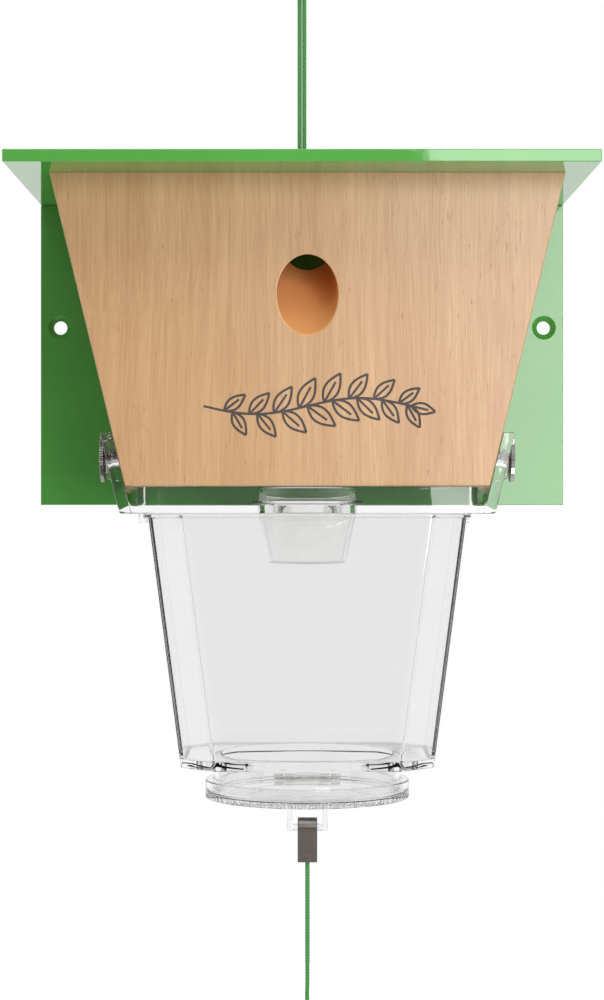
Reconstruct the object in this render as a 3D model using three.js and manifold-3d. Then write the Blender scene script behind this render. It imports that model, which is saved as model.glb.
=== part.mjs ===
// Wooden wasp trap with a clear catching jar, hung on a wall or from a cord.
// Millimetres, +Z up. The origin is midway between the two wall-screw holes, on the back
// plate's rear face; +X is right seen from the front and +Y goes into the wall.

import * as THREE from 'three';
import { mergeVertices } from 'three/addons/utils/BufferGeometryUtils.js';
import Module from 'manifold-3d';

const wasm = await Module();
wasm.setup();

// ---------------------------------------------------------------- driving dimensions
const GAP = 0.3;                  // clearance between pieces that touch

// roof and back plate, two sheets of glossy plastic
const SHEET_THICK = 4;
const ROOF_OVERHANG = 24.5;       // roof in front of the wooden box
const ROOF_SIDE_OVERHANG = 10.6;  // roof and back plate beyond the box's top, each side
const PLATE_RISE = 44.2;          // wall screws up to the back plate's top edge
const PLATE_BELOW_BOX = 6.4;      // back plate below the box's bottom edge
const SHEET_OFFSET = -1.8;        // both sheets sit this far to the left of the box's middle
const WALL_SCREW_EDGE = 7;        // wall-screw hole to the plate's side edge
const WALL_HOLE = 4.9;
const WALL_SINK = 8.7;

// wooden box
const BOX_TOP_WIDTH = 168.8;
const BOX_HEIGHT = 102.3;
const BOX_SLANT = 13.56;          // degrees that the sides lean in towards the bottom
const FRONT_THICK = 28.4;
const SIDE_THICK = 15;
const SIDE_LENGTH = 58;           // front to back
const ENTRANCE_BORE = 20;
const ENTRANCE_CLIMB = 40;        // degrees that the bore rises inwards
const ENTRANCE_DROP = 39.8;       // the bore's mouth below the box's top edge

// wood screws that hold the sheets to the box
const SCREW_LENGTH = 22;
const SCREW_HEAD = 7;
const SCREW_SHANK = 3.2;
const SCREW_RIM = 0.4;            // head's straight edge above its cone
const SCREW_TIP = 3;
const CROSS_LENGTH = 3.8;         // cross recess in the head
const CROSS_WIDTH = 0.7;
const CROSS_DEPTH = 1.2;
const SCREW_SUNK = 0.1;           // heads lie this far below the sheet's face
const SCREW_SIDES = 12;
const FRONT_SCREW_INSET = 29.4;   // front roof screws from the box's top corners
const SIDE_SCREW_Y = 15;          // rear roof screws, in front of the side boards' back ends
const BACK_SCREW_INSET = 16;      // back screws from the side boards' top and bottom ends

// clear tray that cradles the bottom of the box
const TRAY_SETBACK = 6;           // behind the box's front face
const TRAY_WALL_ROOM = 1;         // in front of the back plate
const TRAY_THICK = 2.7;
const RIM_HEIGHT = 6.1;
const RIM_THICK = 2.4;
const RIM_INSET = 2.2;            // rim inside the foot of the arms
const ARM_THICK = 4;
const ARM_ROOM = 0.5;             // between an arm and the box's side
const ARM_RISE = 24.1;            // arm's top above the tray's floor
const PAD_FACE = 1.9;             // clamping pad's face outside the arm, at the thumb screw
const PAD_WIDTH = 19;
const SLOT_ROOM = 0.5;            // between a thumb screw's hub and its slot
const ARM_ROUND = 0.6;            // rounding of the arms' top edges
const TRAY_ROUND = 1;             // rounding of the tray's bottom edges
const CRADLE_ROUND = 1.6;         // rounding between the tray's floor and its arms
const RIM_ROUND = 3;

// thumb screws
const THUMB_DROP = 7.6;           // axis below the arm's top
const THUMB_HEAD = 17;
const THUMB_HEAD_THICK = 1.4;
const HUB_DIAMETER = 5.5;
const HUB_LENGTH = 3.2;
const HUB_SUNK = 0.5;             // hub runs on into the head
const SHANK_DIAMETER = 4;
const SHANK_SHORT = 0.6;          // shank's end before the insert's inner end
const WASHER_DIAMETER = 11;
const WASHER_THICK = 0.8;
const INSERT_DIAMETER = 7;
const INSERT_LENGTH = 9;
const INSERT_DEPTH = 1.6;         // outer end of the insert below the wood's surface

// funnel
const FUNNEL_COLLAR = 33.8;
const FUNNEL_TIP = 26.5;
const FUNNEL_DROP = 17.2;         // cone below the tray
const FUNNEL_WALL = 1.5;
const FUNNEL_FLANGE = 2.4;        // flange outside the collar
const FLANGE_THICK = 1.2;

// jar
const JAR_SIDE_INSET = 8.23;      // jar's top inside the tray's outer sides
const JAR_FRONT_INSET = 5;        // jar's top behind the tray's front, and before its back
const JAR_SIDE_TAPER = 11.1;      // each side, from top to foot
const JAR_FRONT_TAPER = 1;
const JAR_CHAMFER = 11.6;
const JAR_ROUND = 3;
const JAR_HEIGHT = 85.5;
const JAR_WALL = 2.2;
const JAR_FLOOR = 2.9;
const LIP_REACH = 1.2;            // jar's top flange
const HOOK_THICK = 1.5;
const HOOK_WIDTH = 12;
const HOOK_SPACING = 36;
const NECK_INSET = 1.6;           // neck inside the narrower way across the jar's foot
const NECK_WALL = 2.2;
const NECK_LENGTH = 8.7;

// door ring, door and hinge
const RING_HEIGHT = 4;
const RING_WALL = 2.5;
const RING_LIP = 1;
const NOTCH_HALF_WIDTH = 16.5;    // notch in the ring's rear, over the hinge
const NOTCH_DEPTH = 2.7;
const DOOR_THICK = 2.1;
const DOOR_ARM_ROOT = 3;          // the hinge arm starts this far inside the door's edge
const HINGE_SETBACK = 2.3;        // hinge axis behind the ring
const BARREL_RADIUS = 1.75;
const PIN_RADIUS = 0.7;
const MIDDLE_KNUCKLE = 8.4;
const SPRING_LENGTH = 4.2;
const SIDE_KNUCKLE = 3.8;
const SPRING_RADIUS = 1.6;

// pull bracket and clip
const BRACKET_WIDTH = 13.4;
const BRACKET_LEG = 1.85;
const BRACKET_DEPTH = 2.4;
const BRACKET_DROP = 7.3;
const BRACKET_INSET = 1.2;        // behind the door's front edge
const CLIP_WIDTH = 6.5;
const CLIP_WALL = 1.8;
const CLIP_DROP = 11.5;           // bar's axis to the clip's lower end
const CLIP_THICK = 3.4;
const CLIP_BORE = 2.6;
const CLIP_BORE_DEPTH = 4;

// cords, and the knots and the hank on them
const CORD_DIAMETER = 1.5;
const STRAND_SPACING = 1.6;
const ROOF_HOLE = 4.4;
const ROOF_KNOT = 6.2;
const ROOF_KNOT_DROP = 0.9;       // stopper knot's top below the roof
const LOOP_KNOT = 7.2;
const LOOP_KNOT_HEIGHT = 6.5;
const LOOP_KNOT_RISE = 66.7;      // its middle above the roof
const FREE_CORD = 51;             // between the clip and the hank
const HANK_LENGTH = 44.4;
const HANK_WIDTH = 14.4;
const HANK_THICK = 9.6;
const TIE_THICK = 1.3;
const TIE_HEIGHT = 5;
const END_KNOT = 4.4;
const END_KNOT_DROP = 12;         // below the hank's middle

// ---------------------------------------------------------------- places worked out from them
const radians = THREE.MathUtils.degToRad;

const plateFront = -SHEET_THICK;
const sideBack = plateFront - GAP;
const sideFront = sideBack - SIDE_LENGTH;
const frontBack = sideFront - GAP;
const boxFront = frontBack - FRONT_THICK;
const roofFront = boxFront - ROOF_OVERHANG;
const roofHalf = BOX_TOP_WIDTH / 2 + ROOF_SIDE_OVERHANG;

const roofUnder = PLATE_RISE + GAP;
const roofTop = roofUnder + SHEET_THICK;
const boxTop = roofUnder - GAP;
const boxBottom = boxTop - BOX_HEIGHT;
const plateFoot = boxBottom - PLATE_BELOW_BOX;
const sheetLeft = SHEET_OFFSET - roofHalf;
const sheetRight = SHEET_OFFSET + roofHalf;

const lean = Math.tan(radians(BOX_SLANT));
const boxHalf = (z) => BOX_TOP_WIDTH / 2 - (boxTop - z) * lean;
const sideMiddle = (z) => boxHalf(z) - SIDE_THICK / 2;

const trayFront = boxFront + TRAY_SETBACK;
const trayBack = plateFront - TRAY_WALL_ROOM;
const axisY = (trayFront + trayBack) / 2;          // funnel, jar and door are round it
const rimTop = boxBottom - GAP;
const trayFloor = rimTop - RIM_HEIGHT;
const trayUnder = trayFloor - TRAY_THICK;
const armTop = trayFloor + ARM_RISE;
const armInner = (z) => boxHalf(z) + ARM_ROOM;
const armOuter = (z) => armInner(z) + ARM_THICK;
const rimHalf = armInner(trayFloor) - RIM_INSET;

const thumbZ = armTop - THUMB_DROP;
const padFace = armOuter(thumbZ) + PAD_FACE;
const washerFace = padFace + GAP;
const headFace = washerFace + WASHER_THICK + GAP;
const insertOuter = boxHalf(thumbZ) - INSERT_DEPTH;
const insertInner = insertOuter - INSERT_LENGTH;

const jarTop = trayUnder - GAP;
const jarFoot = jarTop - JAR_HEIGHT;
const jarTopHalf = [armOuter(trayUnder) - JAR_SIDE_INSET, (trayBack - trayFront) / 2 - JAR_FRONT_INSET];
const jarFootHalf = [jarTopHalf[0] - JAR_SIDE_TAPER, jarTopHalf[1] - JAR_FRONT_TAPER];
const neckEnd = jarFoot - NECK_LENGTH;
const neckRadius = Math.min(...jarFootHalf) - NECK_INSET;
const ringInner = neckRadius + GAP;
const ringOuter = ringInner + RING_WALL;
const ringFoot = neckEnd - GAP - RING_LIP;
const ringTop = ringFoot + RING_HEIGHT;
const doorTop = ringFoot - GAP;
const doorUnder = doorTop - DOOR_THICK;
const hingeY = axisY + ringOuter + HINGE_SETBACK;
const hingeZ = ringFoot - GAP / 2;
const springInner = MIDDLE_KNUCKLE / 2 + GAP;
const lugInner = springInner + SPRING_LENGTH + GAP;
const lugOuter = lugInner + SIDE_KNUCKLE;

const barRadius = BRACKET_DEPTH / 2;
const barY = axisY - ringOuter + BRACKET_INSET + barRadius;
const barZ = doorUnder - BRACKET_DROP + barRadius;
const clipInner = barRadius + GAP;
const clipFoot = barZ - CLIP_DROP;
const hankTop = clipFoot - FREE_CORD;

// ---------------------------------------------------------------- shape helpers

/** A manifold solid from a closed three.js geometry. */
function solid(geometry) {
  const bare = geometry.clone();
  bare.deleteAttribute('normal');
  bare.deleteAttribute('uv');
  const merged = mergeVertices(bare, 1e-4);
  const vertProperties = new Float32Array(merged.attributes.position.array);
  const triVerts = new Uint32Array(merged.index.array);
  return new wasm.Manifold(new wasm.Mesh({ numProp: 3, vertProperties, triVerts }));
}

/** A three.js geometry from a manifold solid. */
function geometryOf(manifold) {
  const mesh = manifold.getMesh();
  const geometry = new THREE.BufferGeometry();
  geometry.setAttribute('position', new THREE.BufferAttribute(mesh.vertProperties, 3));
  geometry.setIndex(new THREE.BufferAttribute(mesh.triVerts, 1));
  geometry.computeVertexNormals();
  return geometry;
}

/** A box from its lowest and highest corners. */
function block(low, high) {
  const [dx, dy, dz] = high.map((v, i) => v - low[i]);
  const [x, y, z] = high.map((v, i) => (v + low[i]) / 2);
  return new THREE.BoxGeometry(dx, dy, dz).translate(x, y, z);
}

/** A flat outline with its corners rounded; points run counterclockwise. */
function rounded(points, radii, steps = 4) {
  const outline = [];
  points.forEach((corner, i) => {
    const radius = Array.isArray(radii) ? radii[i] : radii;
    const here = new THREE.Vector2(...corner);
    const before = new THREE.Vector2(...points.at(i - 1)).sub(here).normalize();
    const after = new THREE.Vector2(...points[(i + 1) % points.length]).sub(here).normalize();
    if (radius === 0) {
      outline.push(here);
      return;
    }
    const half = Math.acos(THREE.MathUtils.clamp(before.dot(after), -1, 1)) / 2;
    const middle = before.clone().add(after).normalize();
    const centre = here.clone().addScaledVector(middle, radius / Math.sin(half));
    const start = here.clone().addScaledVector(before, radius / Math.tan(half)).sub(centre);
    const end = here.clone().addScaledVector(after, radius / Math.tan(half)).sub(centre);
    const sweep = Math.atan2(start.cross(end), start.dot(end));
    for (let k = 0; k <= steps; k += 1) {
      outline.push(start.clone().rotateAround(new THREE.Vector2(), (sweep * k) / steps).add(centre));
    }
  });
  return outline;
}

/** An outline drawn in X and Y, from one height to another. */
function slabZ(outline, low, high) {
  const options = { depth: high - low, bevelEnabled: false };
  return new THREE.ExtrudeGeometry(new THREE.Shape(outline), options).translate(0, 0, low);
}

/** An outline drawn in X and Z, from a front Y to a back Y. */
function slabY(outline, front, back) {
  const options = { depth: back - front, bevelEnabled: false };
  const geometry = new THREE.ExtrudeGeometry(new THREE.Shape(outline), options);
  return geometry.rotateX(Math.PI / 2).translate(0, back, 0);
}

/** A cylinder or cone along an axis; low and high are its ends, (u, v) the place across it. */
function rod(axis, radius, low, high, [u, v] = [0, 0], sides = 32, highRadius = radius) {
  const geometry = new THREE.CylinderGeometry(highRadius, radius, high - low, sides);
  const middle = (low + high) / 2;
  if (axis === 'x') return geometry.rotateZ(-Math.PI / 2).translate(middle, u, v);
  if (axis === 'y') return geometry.translate(u, middle, v);
  return geometry.rotateX(Math.PI / 2).translate(u, v, middle);
}

/** A solid of revolution about Z from (radius, height) pairs, counterclockwise. */
function turned(profile, sides = 48) {
  const points = profile.map(([r, z]) => new THREE.Vector2(r, z));
  return new THREE.LatheGeometry([...points, points[0]], sides).rotateX(Math.PI / 2);
}

/** The solid between two outlines of as many points each. */
function loft(lowOutline, low, highOutline, high) {
  const n = lowOutline.length;
  const positions = [];
  lowOutline.forEach((p) => positions.push(p.x, p.y, low));
  highOutline.forEach((p) => positions.push(p.x, p.y, high));
  const index = [];
  for (let i = 0; i < n; i += 1) {
    const next = (i + 1) % n;
    index.push(i, next, n + next, i, n + next, n + i);
  }
  for (let i = 1; i < n - 1; i += 1) {
    index.push(0, i + 1, i, n, n + i, n + i + 1);
  }
  const geometry = new THREE.BufferGeometry();
  geometry.setAttribute('position', new THREE.Float32BufferAttribute(positions, 3));
  geometry.setIndex(index);
  return solid(geometry);
}

/** A round tube that follows points along a smooth curve. */
function cordTube(points, steps) {
  const route = points.map((p) => new THREE.Vector3(...p));
  const extrudePath = new THREE.CatmullRomCurve3(route, false, 'centripetal');
  const section = new THREE.Shape();
  section.absarc(0, 0, CORD_DIAMETER / 2, 0, Math.PI * 2);
  const options = { steps, curveSegments: 4, extrudePath, bevelEnabled: false };
  return new THREE.ExtrudeGeometry(section, options);
}

/** A solid's mirror image in the plane X = 0. */
const mirrored = (shape) => shape.mirror([1, 0, 0]);

// ---------------------------------------------------------------- the tree of pieces
const group = new THREE.Group();

const finishes = {
  greenPlastic: { color: 0x3f8a35, roughness: 0.18, metalness: 0 },
  wood: { color: 0xcda07a, roughness: 0.6, metalness: 0 },
  clear: { color: 0xe6e8ea, roughness: 0.08, metalness: 0, transparent: true, opacity: 0.35 },
  darkMetal: { color: 0x645d58, roughness: 0.4, metalness: 0.6 },
  steel: { color: 0x9a9a98, roughness: 0.3, metalness: 1 },
  brass: { color: 0xb08d4f, roughness: 0.35, metalness: 1 },
  cord: { color: 0x4f9a4c, roughness: 0.8, metalness: 0 },
};

/** Adds a named piece to the assembly. */
function piece(name, shape, finish) {
  const geometry = shape.isBufferGeometry ? shape : geometryOf(shape);
  const mesh = new THREE.Mesh(geometry, new THREE.MeshStandardMaterial(finishes[finish]));
  mesh.name = name;
  group.add(mesh);
  return mesh;
}

// ---------------------------------------------------------------- wood screws and their holes
const screwSpots = [
  { x: boxHalf(boxTop) - FRONT_SCREW_INSET, y: boxFront + FRONT_THICK / 2 },
  { x: sideMiddle(boxTop), y: sideBack - SIDE_SCREW_Y },
].flatMap(({ x, y }) => [{ x: -x, y }, { x, y }]);
const backSpots = [boxTop - BACK_SCREW_INSET, boxBottom + BACK_SCREW_INSET].flatMap((z) =>
  [-1, 1].map((side) => ({ x: side * sideMiddle(z), z })));

/** A countersunk wood screw about Z, its head's flat top at height 0. */
function woodScrew() {
  const head = SCREW_HEAD / 2;
  const shank = SCREW_SHANK / 2;
  const body = solid(turned([
    [0, -SCREW_LENGTH], [shank, SCREW_TIP - SCREW_LENGTH], [shank, shank - head - SCREW_RIM],
    [head, -SCREW_RIM], [head, 0], [0, 0],
  ], SCREW_SIDES));
  const arms = [[CROSS_LENGTH / 2, CROSS_WIDTH / 2], [CROSS_WIDTH / 2, CROSS_LENGTH / 2]];
  const cuts = arms.map(([x, y]) => solid(block([-x, -y, -CROSS_DEPTH], [x, y, 1])));
  return cuts.reduce((shape, cut) => shape.subtract(cut), body);
}

/** What a wood screw needs cut away round it, at the same place. */
function screwRoom() {
  const head = SCREW_HEAD / 2 + GAP;
  const shank = SCREW_SHANK / 2 + GAP;
  const rim = SCREW_RIM + GAP;
  const above = 1;                // the cut runs on past the sheet's face
  return solid(turned([
    [0, -SCREW_LENGTH - GAP], [shank, -SCREW_LENGTH - GAP], [shank, -rim - head + shank],
    [head, -rim], [head, above], [0, above],
  ], SCREW_SIDES));
}

const roofScrewAt = (shape, { x, y }) => shape.translate([x, y, roofTop - SCREW_SUNK]);
const backScrewAt = (shape, { x, z }) => shape.rotate([-90, 0, 0]).translate([x, -SCREW_SUNK, z]);

const screwHoles = [
  ...screwSpots.map((spot) => roofScrewAt(screwRoom(), spot)),
  ...backSpots.map((spot) => backScrewAt(screwRoom(), spot)),
];
const drilled = (shape) => screwHoles.reduce((rest, hole) => rest.subtract(hole), shape);

// ---------------------------------------------------------------- roof and back plate
const roofSheet = solid(block([sheetLeft, roofFront, roofUnder], [sheetRight, 0, roofTop]));
const cordHole = solid(rod('z', ROOF_HOLE / 2, roofUnder - 1, roofTop + 1, [SHEET_OFFSET, axisY], 24));
piece('roof_panel', drilled(roofSheet.subtract(cordHole)), 'greenPlastic');

const plateSheet = solid(block([sheetLeft, plateFront, plateFoot], [sheetRight, 0, PLATE_RISE]));
const sinkInner = plateFront + (WALL_SINK - WALL_HOLE) / 2;
const wallScrewX = [sheetLeft + WALL_SCREW_EDGE, sheetRight - WALL_SCREW_EDGE];
const wallHoles = wallScrewX.map((x) => {
  const shaft = solid(rod('y', WALL_HOLE / 2, plateFront - 1, 1, [x, 0], 32));
  const past = 0.5;               // the cone runs on in front of the face
  const wide = WALL_SINK / 2 + past;
  const cone = rod('y', wide, plateFront - past, sinkInner, [x, 0], 32, WALL_HOLE / 2);
  return shaft.add(solid(cone));
});
const holedPlate = wallHoles.reduce((sheet, hole) => sheet.subtract(hole), plateSheet);
piece('back_plate', drilled(holedPlate), 'greenPlastic');

screwSpots.forEach((spot, i) => piece(`roof_screw_${i + 1}`, roofScrewAt(woodScrew(), spot), 'steel'));
backSpots.forEach((spot, i) => piece(`back_screw_${i + 1}`, backScrewAt(woodScrew(), spot), 'steel'));

// ---------------------------------------------------------------- wooden box
const frontOutline = rounded([
  [-boxHalf(boxBottom), boxBottom], [boxHalf(boxBottom), boxBottom],
  [boxHalf(boxTop), boxTop], [-boxHalf(boxTop), boxTop],
], 0);
const boreLength = 2 * FRONT_THICK / Math.cos(radians(ENTRANCE_CLIMB)) + 2 * ENTRANCE_BORE;
const bore = solid(rod('y', ENTRANCE_BORE / 2, -boreLength / 2, boreLength / 2, [0, 0], 48))
  .rotate([ENTRANCE_CLIMB, 0, 0])
  .translate([0, boxFront, boxTop - ENTRANCE_DROP]);
piece('box_front', drilled(solid(slabY(frontOutline, boxFront, frontBack)).subtract(bore)), 'wood');

const sideOutline = rounded([
  [boxHalf(boxBottom) - SIDE_THICK, boxBottom], [boxHalf(boxBottom), boxBottom],
  [boxHalf(boxTop), boxTop], [boxHalf(boxTop) - SIDE_THICK, boxTop],
], 0);
const insertHole = solid(rod('x', INSERT_DIAMETER / 2 + GAP, insertInner - GAP, boxHalf(boxTop),
  [axisY, thumbZ], 16));
const sideBoard = solid(slabY(sideOutline, sideFront, sideBack)).subtract(insertHole);
piece('box_side_right', drilled(sideBoard), 'wood');
piece('box_side_left', drilled(mirrored(sideBoard)), 'wood');

// ---------------------------------------------------------------- tray
const cradle = solid(slabY(rounded([
  [-armOuter(trayUnder), trayUnder], [armOuter(trayUnder), trayUnder],
  [armOuter(armTop), armTop], [armInner(armTop), armTop],
  [armInner(trayFloor), trayFloor], [-armInner(trayFloor), trayFloor],
  [-armInner(armTop), armTop], [-armOuter(armTop), armTop],
], [
  TRAY_ROUND, TRAY_ROUND, ARM_ROUND, ARM_ROUND, CRADLE_ROUND, CRADLE_ROUND, ARM_ROUND, ARM_ROUND,
]), trayFront, trayBack));

/** An upright rectangle outline about the tray's middle. */
function trayRectangle(halfWidth, inset, round) {
  return rounded([
    [-halfWidth, trayFront + inset], [halfWidth, trayFront + inset],
    [halfWidth, trayBack - inset], [-halfWidth, trayBack - inset],
  ], round);
}
const rim = solid(slabZ(trayRectangle(rimHalf, 0, RIM_ROUND), trayFloor - 1, rimTop))
  .subtract(solid(slabZ(trayRectangle(rimHalf - RIM_THICK, RIM_THICK, 1), trayFloor - 2, rimTop + 1)));

const slotHalf = HUB_DIAMETER / 2 + SLOT_ROOM;
const padBottom = thumbZ - THUMB_HEAD / 2;
const pad = solid(slabY(rounded([
  [armOuter(padBottom) - 1, padBottom], [padFace, padBottom + 1],
  [padFace, armTop], [armOuter(armTop) - 1, armTop],
], 0), axisY - PAD_WIDTH / 2, axisY + PAD_WIDTH / 2));
const slotMouth = block([armInner(trayFloor), axisY - slotHalf, thumbZ],
  [padFace + 1, axisY + slotHalf, armTop + 1]);
const slot = solid(rod('x', slotHalf, armInner(trayFloor), padFace + 1, [axisY, thumbZ], 16))
  .add(solid(slotMouth));

const hookInner = jarTopHalf[0] + LIP_REACH + GAP;
const hookOuter = hookInner + HOOK_THICK;
const hookLip = jarTop - FLANGE_THICK - GAP;
const hookY = [-HOOK_SPACING / 2, HOOK_SPACING / 2].map((y) => axisY + y);
const hooks = hookY.map((y) => {
  const [front, back] = [y - HOOK_WIDTH / 2, y + HOOK_WIDTH / 2];
  const foot = hookLip - HOOK_THICK;
  const upright = solid(block([hookInner, front, foot], [hookOuter, back, trayUnder + 1]));
  const shelf = solid(block([hookInner - LIP_REACH + GAP, front, foot], [hookOuter, back, hookLip]));
  return upright.add(shelf);
});
const rightHalf = hooks.reduce((shape, hook) => shape.add(hook), pad);
const funnelRoom = FUNNEL_COLLAR / 2 + GAP;
const funnelHole = solid(rod('z', funnelRoom, trayUnder - 1, trayFloor + 1, [0, axisY], 48));
const tray = cradle.add(rim).add(rightHalf).add(mirrored(rightHalf));
piece('tray', tray.subtract(slot).subtract(mirrored(slot)).subtract(funnelHole), 'clear');

// ---------------------------------------------------------------- thumb screws, washers, inserts
const shankInner = insertInner + SHANK_SHORT;

/** A rod along a thumb screw's axis, from one X to another. */
const onThumbAxis = (diameter, low, high, sides = 16) =>
  solid(rod('x', diameter / 2, low, high, [axisY, thumbZ], sides));

const thumbScrew = onThumbAxis(THUMB_HEAD, headFace, headFace + THUMB_HEAD_THICK, 32)
  .add(onThumbAxis(HUB_DIAMETER, headFace - HUB_LENGTH, headFace + HUB_SUNK))
  .add(onThumbAxis(SHANK_DIAMETER, shankInner, headFace - HUB_LENGTH / 2));
const washer = onThumbAxis(WASHER_DIAMETER, washerFace, washerFace + WASHER_THICK, 32)
  .subtract(onThumbAxis(HUB_DIAMETER + 2 * GAP, washerFace - 1, headFace));
const insert = onThumbAxis(INSERT_DIAMETER, insertInner, insertOuter)
  .subtract(onThumbAxis(SHANK_DIAMETER + 2 * GAP, insertInner - 1, insertOuter + 1));
[
  ['thumb_screw', thumbScrew, 'steel'], ['washer', washer, 'steel'], ['threaded_insert', insert, 'brass'],
]
  .forEach(([name, shape, finish]) => {
    piece(`${name}_right`, shape, finish);
    piece(`${name}_left`, mirrored(shape), finish);
  });

// ---------------------------------------------------------------- funnel
const collarRadius = FUNNEL_COLLAR / 2;
const tipRadius = FUNNEL_TIP / 2;
const funnelTip = trayUnder - FUNNEL_DROP;
const flangeFoot = trayFloor + GAP;
const flangeTop = flangeFoot + FLANGE_THICK;
const funnel = turned([
  [tipRadius - FUNNEL_WALL, funnelTip], [tipRadius, funnelTip],
  [collarRadius, trayUnder], [collarRadius, flangeFoot],
  [collarRadius + FUNNEL_FLANGE, flangeFoot], [collarRadius + FUNNEL_FLANGE, flangeTop],
  [collarRadius, flangeTop], [collarRadius, rimTop],
  [collarRadius - FUNNEL_WALL, rimTop], [collarRadius - FUNNEL_WALL, trayUnder],
], 36);
piece('funnel', funnel.translate(0, axisY, 0), 'clear');

// ---------------------------------------------------------------- jar

/** The jar's eight-sided outline, its narrow corners cut at 45 degrees. */
function jarOutline([halfWidth, halfDepth], grow) {
  const x = halfWidth + grow;
  const y = halfDepth + grow;
  const cut = JAR_CHAMFER + grow * (2 - Math.SQRT2);
  const corners = [
    [x - cut, -y], [x, cut - y], [x, y - cut], [x - cut, y],
    [cut - x, y], [-x, y - cut], [-x, cut - y], [cut - x, -y],
  ];
  return rounded(corners.map(([u, v]) => [u, v + axisY]), JAR_ROUND + grow, 2);
}
const jarBody = loft(jarOutline(jarFootHalf, 0), jarFoot, jarOutline(jarTopHalf, 0), jarTop);
const jarLip = solid(slabZ(jarOutline(jarTopHalf, LIP_REACH), jarTop - FLANGE_THICK, jarTop));
const floorTop = jarFoot + JAR_FLOOR;
const pastTop = 1;                // the hollow runs on past the jar's top
const halfAt = (height) =>
  jarFootHalf.map((foot, i) => foot + ((jarTopHalf[i] - foot) * height) / JAR_HEIGHT);
const jarHollow = loft(jarOutline(halfAt(JAR_FLOOR), -JAR_WALL), floorTop,
  jarOutline(halfAt(JAR_HEIGHT + pastTop), -JAR_WALL), jarTop + pastTop);
const neck = solid(rod('z', neckRadius, neckEnd, jarFoot + 1, [0, axisY], 48));
const neckBore = solid(rod('z', neckRadius - NECK_WALL, neckEnd - 1, floorTop + 1, [0, axisY], 48));
piece('jar', jarBody.add(jarLip).add(neck).subtract(jarHollow).subtract(neckBore), 'clear');

// ---------------------------------------------------------------- door ring, door and hinge
const ring = solid(turned([
  [neckRadius - NECK_WALL, ringFoot], [ringOuter, ringFoot], [ringOuter, ringTop],
  [ringInner, ringTop], [ringInner, ringFoot + RING_LIP], [neckRadius - NECK_WALL, ringFoot + RING_LIP],
], 48)).translate([0, axisY, 0]);
const notch = solid(block([-NOTCH_HALF_WIDTH, axisY + ringInner / 2, ringTop - NOTCH_DEPTH],
  [NOTCH_HALF_WIDTH, hingeY, ringTop + 1]));
const barrel = (low, high) => solid(rod('x', BARREL_RADIUS, low, high, [hingeY, hingeZ], 24));
const pinBore = solid(rod('x', PIN_RADIUS + GAP, -lugOuter - 1, lugOuter + 1, [hingeY, hingeZ], 16));
const lugFront = axisY + Math.sqrt(ringInner ** 2 - lugInner ** 2) + GAP;
const lugs = [[lugInner, lugOuter], [-lugOuter, -lugInner]].map(([low, high]) => {
  const root = block([low, lugFront, ringFoot], [high, hingeY, hingeZ + BARREL_RADIUS]);
  return barrel(low, high).add(solid(root));
});
const ringWithLugs = lugs.reduce((shape, lug) => shape.add(lug), ring.subtract(notch));
piece('door_ring', ringWithLugs.subtract(pinBore), 'clear');

const disc = solid(rod('z', ringOuter, doorUnder, doorTop, [0, axisY], 48));
const doorArm = solid(block([-MIDDLE_KNUCKLE / 2, axisY + ringOuter - DOOR_ARM_ROOT, doorUnder],
  [MIDDLE_KNUCKLE / 2, hingeY, doorTop]));
const legInner = BRACKET_WIDTH / 2 - BRACKET_LEG;
const legs = [[legInner, BRACKET_WIDTH / 2], [-BRACKET_WIDTH / 2, -legInner]].map(([low, high]) =>
  solid(block([low, barY - barRadius, barZ - barRadius], [high, barY + barRadius, doorUnder + 1])));
const bar = solid(rod('x', barRadius, -legInner - 1, legInner + 1, [barY, barZ], 24));
const door = legs.reduce((shape, leg) => shape.add(leg), disc.add(doorArm).add(bar))
  .add(barrel(-MIDDLE_KNUCKLE / 2, MIDDLE_KNUCKLE / 2));
piece('door', door.subtract(pinBore), 'clear');

piece('hinge_pin', rod('x', PIN_RADIUS, -lugOuter, lugOuter, [hingeY, hingeZ], 16), 'steel');
const springOuter = springInner + SPRING_LENGTH;
const spring = solid(rod('x', SPRING_RADIUS, springInner, springOuter, [hingeY, hingeZ], 24))
  .subtract(solid(rod('x', PIN_RADIUS + GAP, 0, lugOuter, [hingeY, hingeZ], 16)));
piece('hinge_spring_right', spring, 'steel');
piece('hinge_spring_left', mirrored(spring), 'steel');

// ---------------------------------------------------------------- pull clip
const clipHalf = CLIP_WIDTH / 2;
const clipRing = solid(rod('x', clipInner + CLIP_WALL, -clipHalf, clipHalf, [barY, barZ], 32));
const clipEnd = solid(block([-clipHalf, barY - CLIP_THICK / 2, clipFoot],
  [clipHalf, barY + CLIP_THICK / 2, clipFoot + CLIP_BORE_DEPTH / 2]));
const clipStrip = wasm.Manifold.hull([clipRing, clipEnd]);
const clipEye = solid(rod('x', clipInner, -CLIP_WIDTH, CLIP_WIDTH, [barY, barZ], 32));
const cordSocket = solid(rod('z', CLIP_BORE / 2, clipFoot - 1, clipFoot + CLIP_BORE_DEPTH, [0, barY], 24));
piece('pull_clip', clipStrip.subtract(clipEye).subtract(cordSocket), 'darkMetal');

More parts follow.
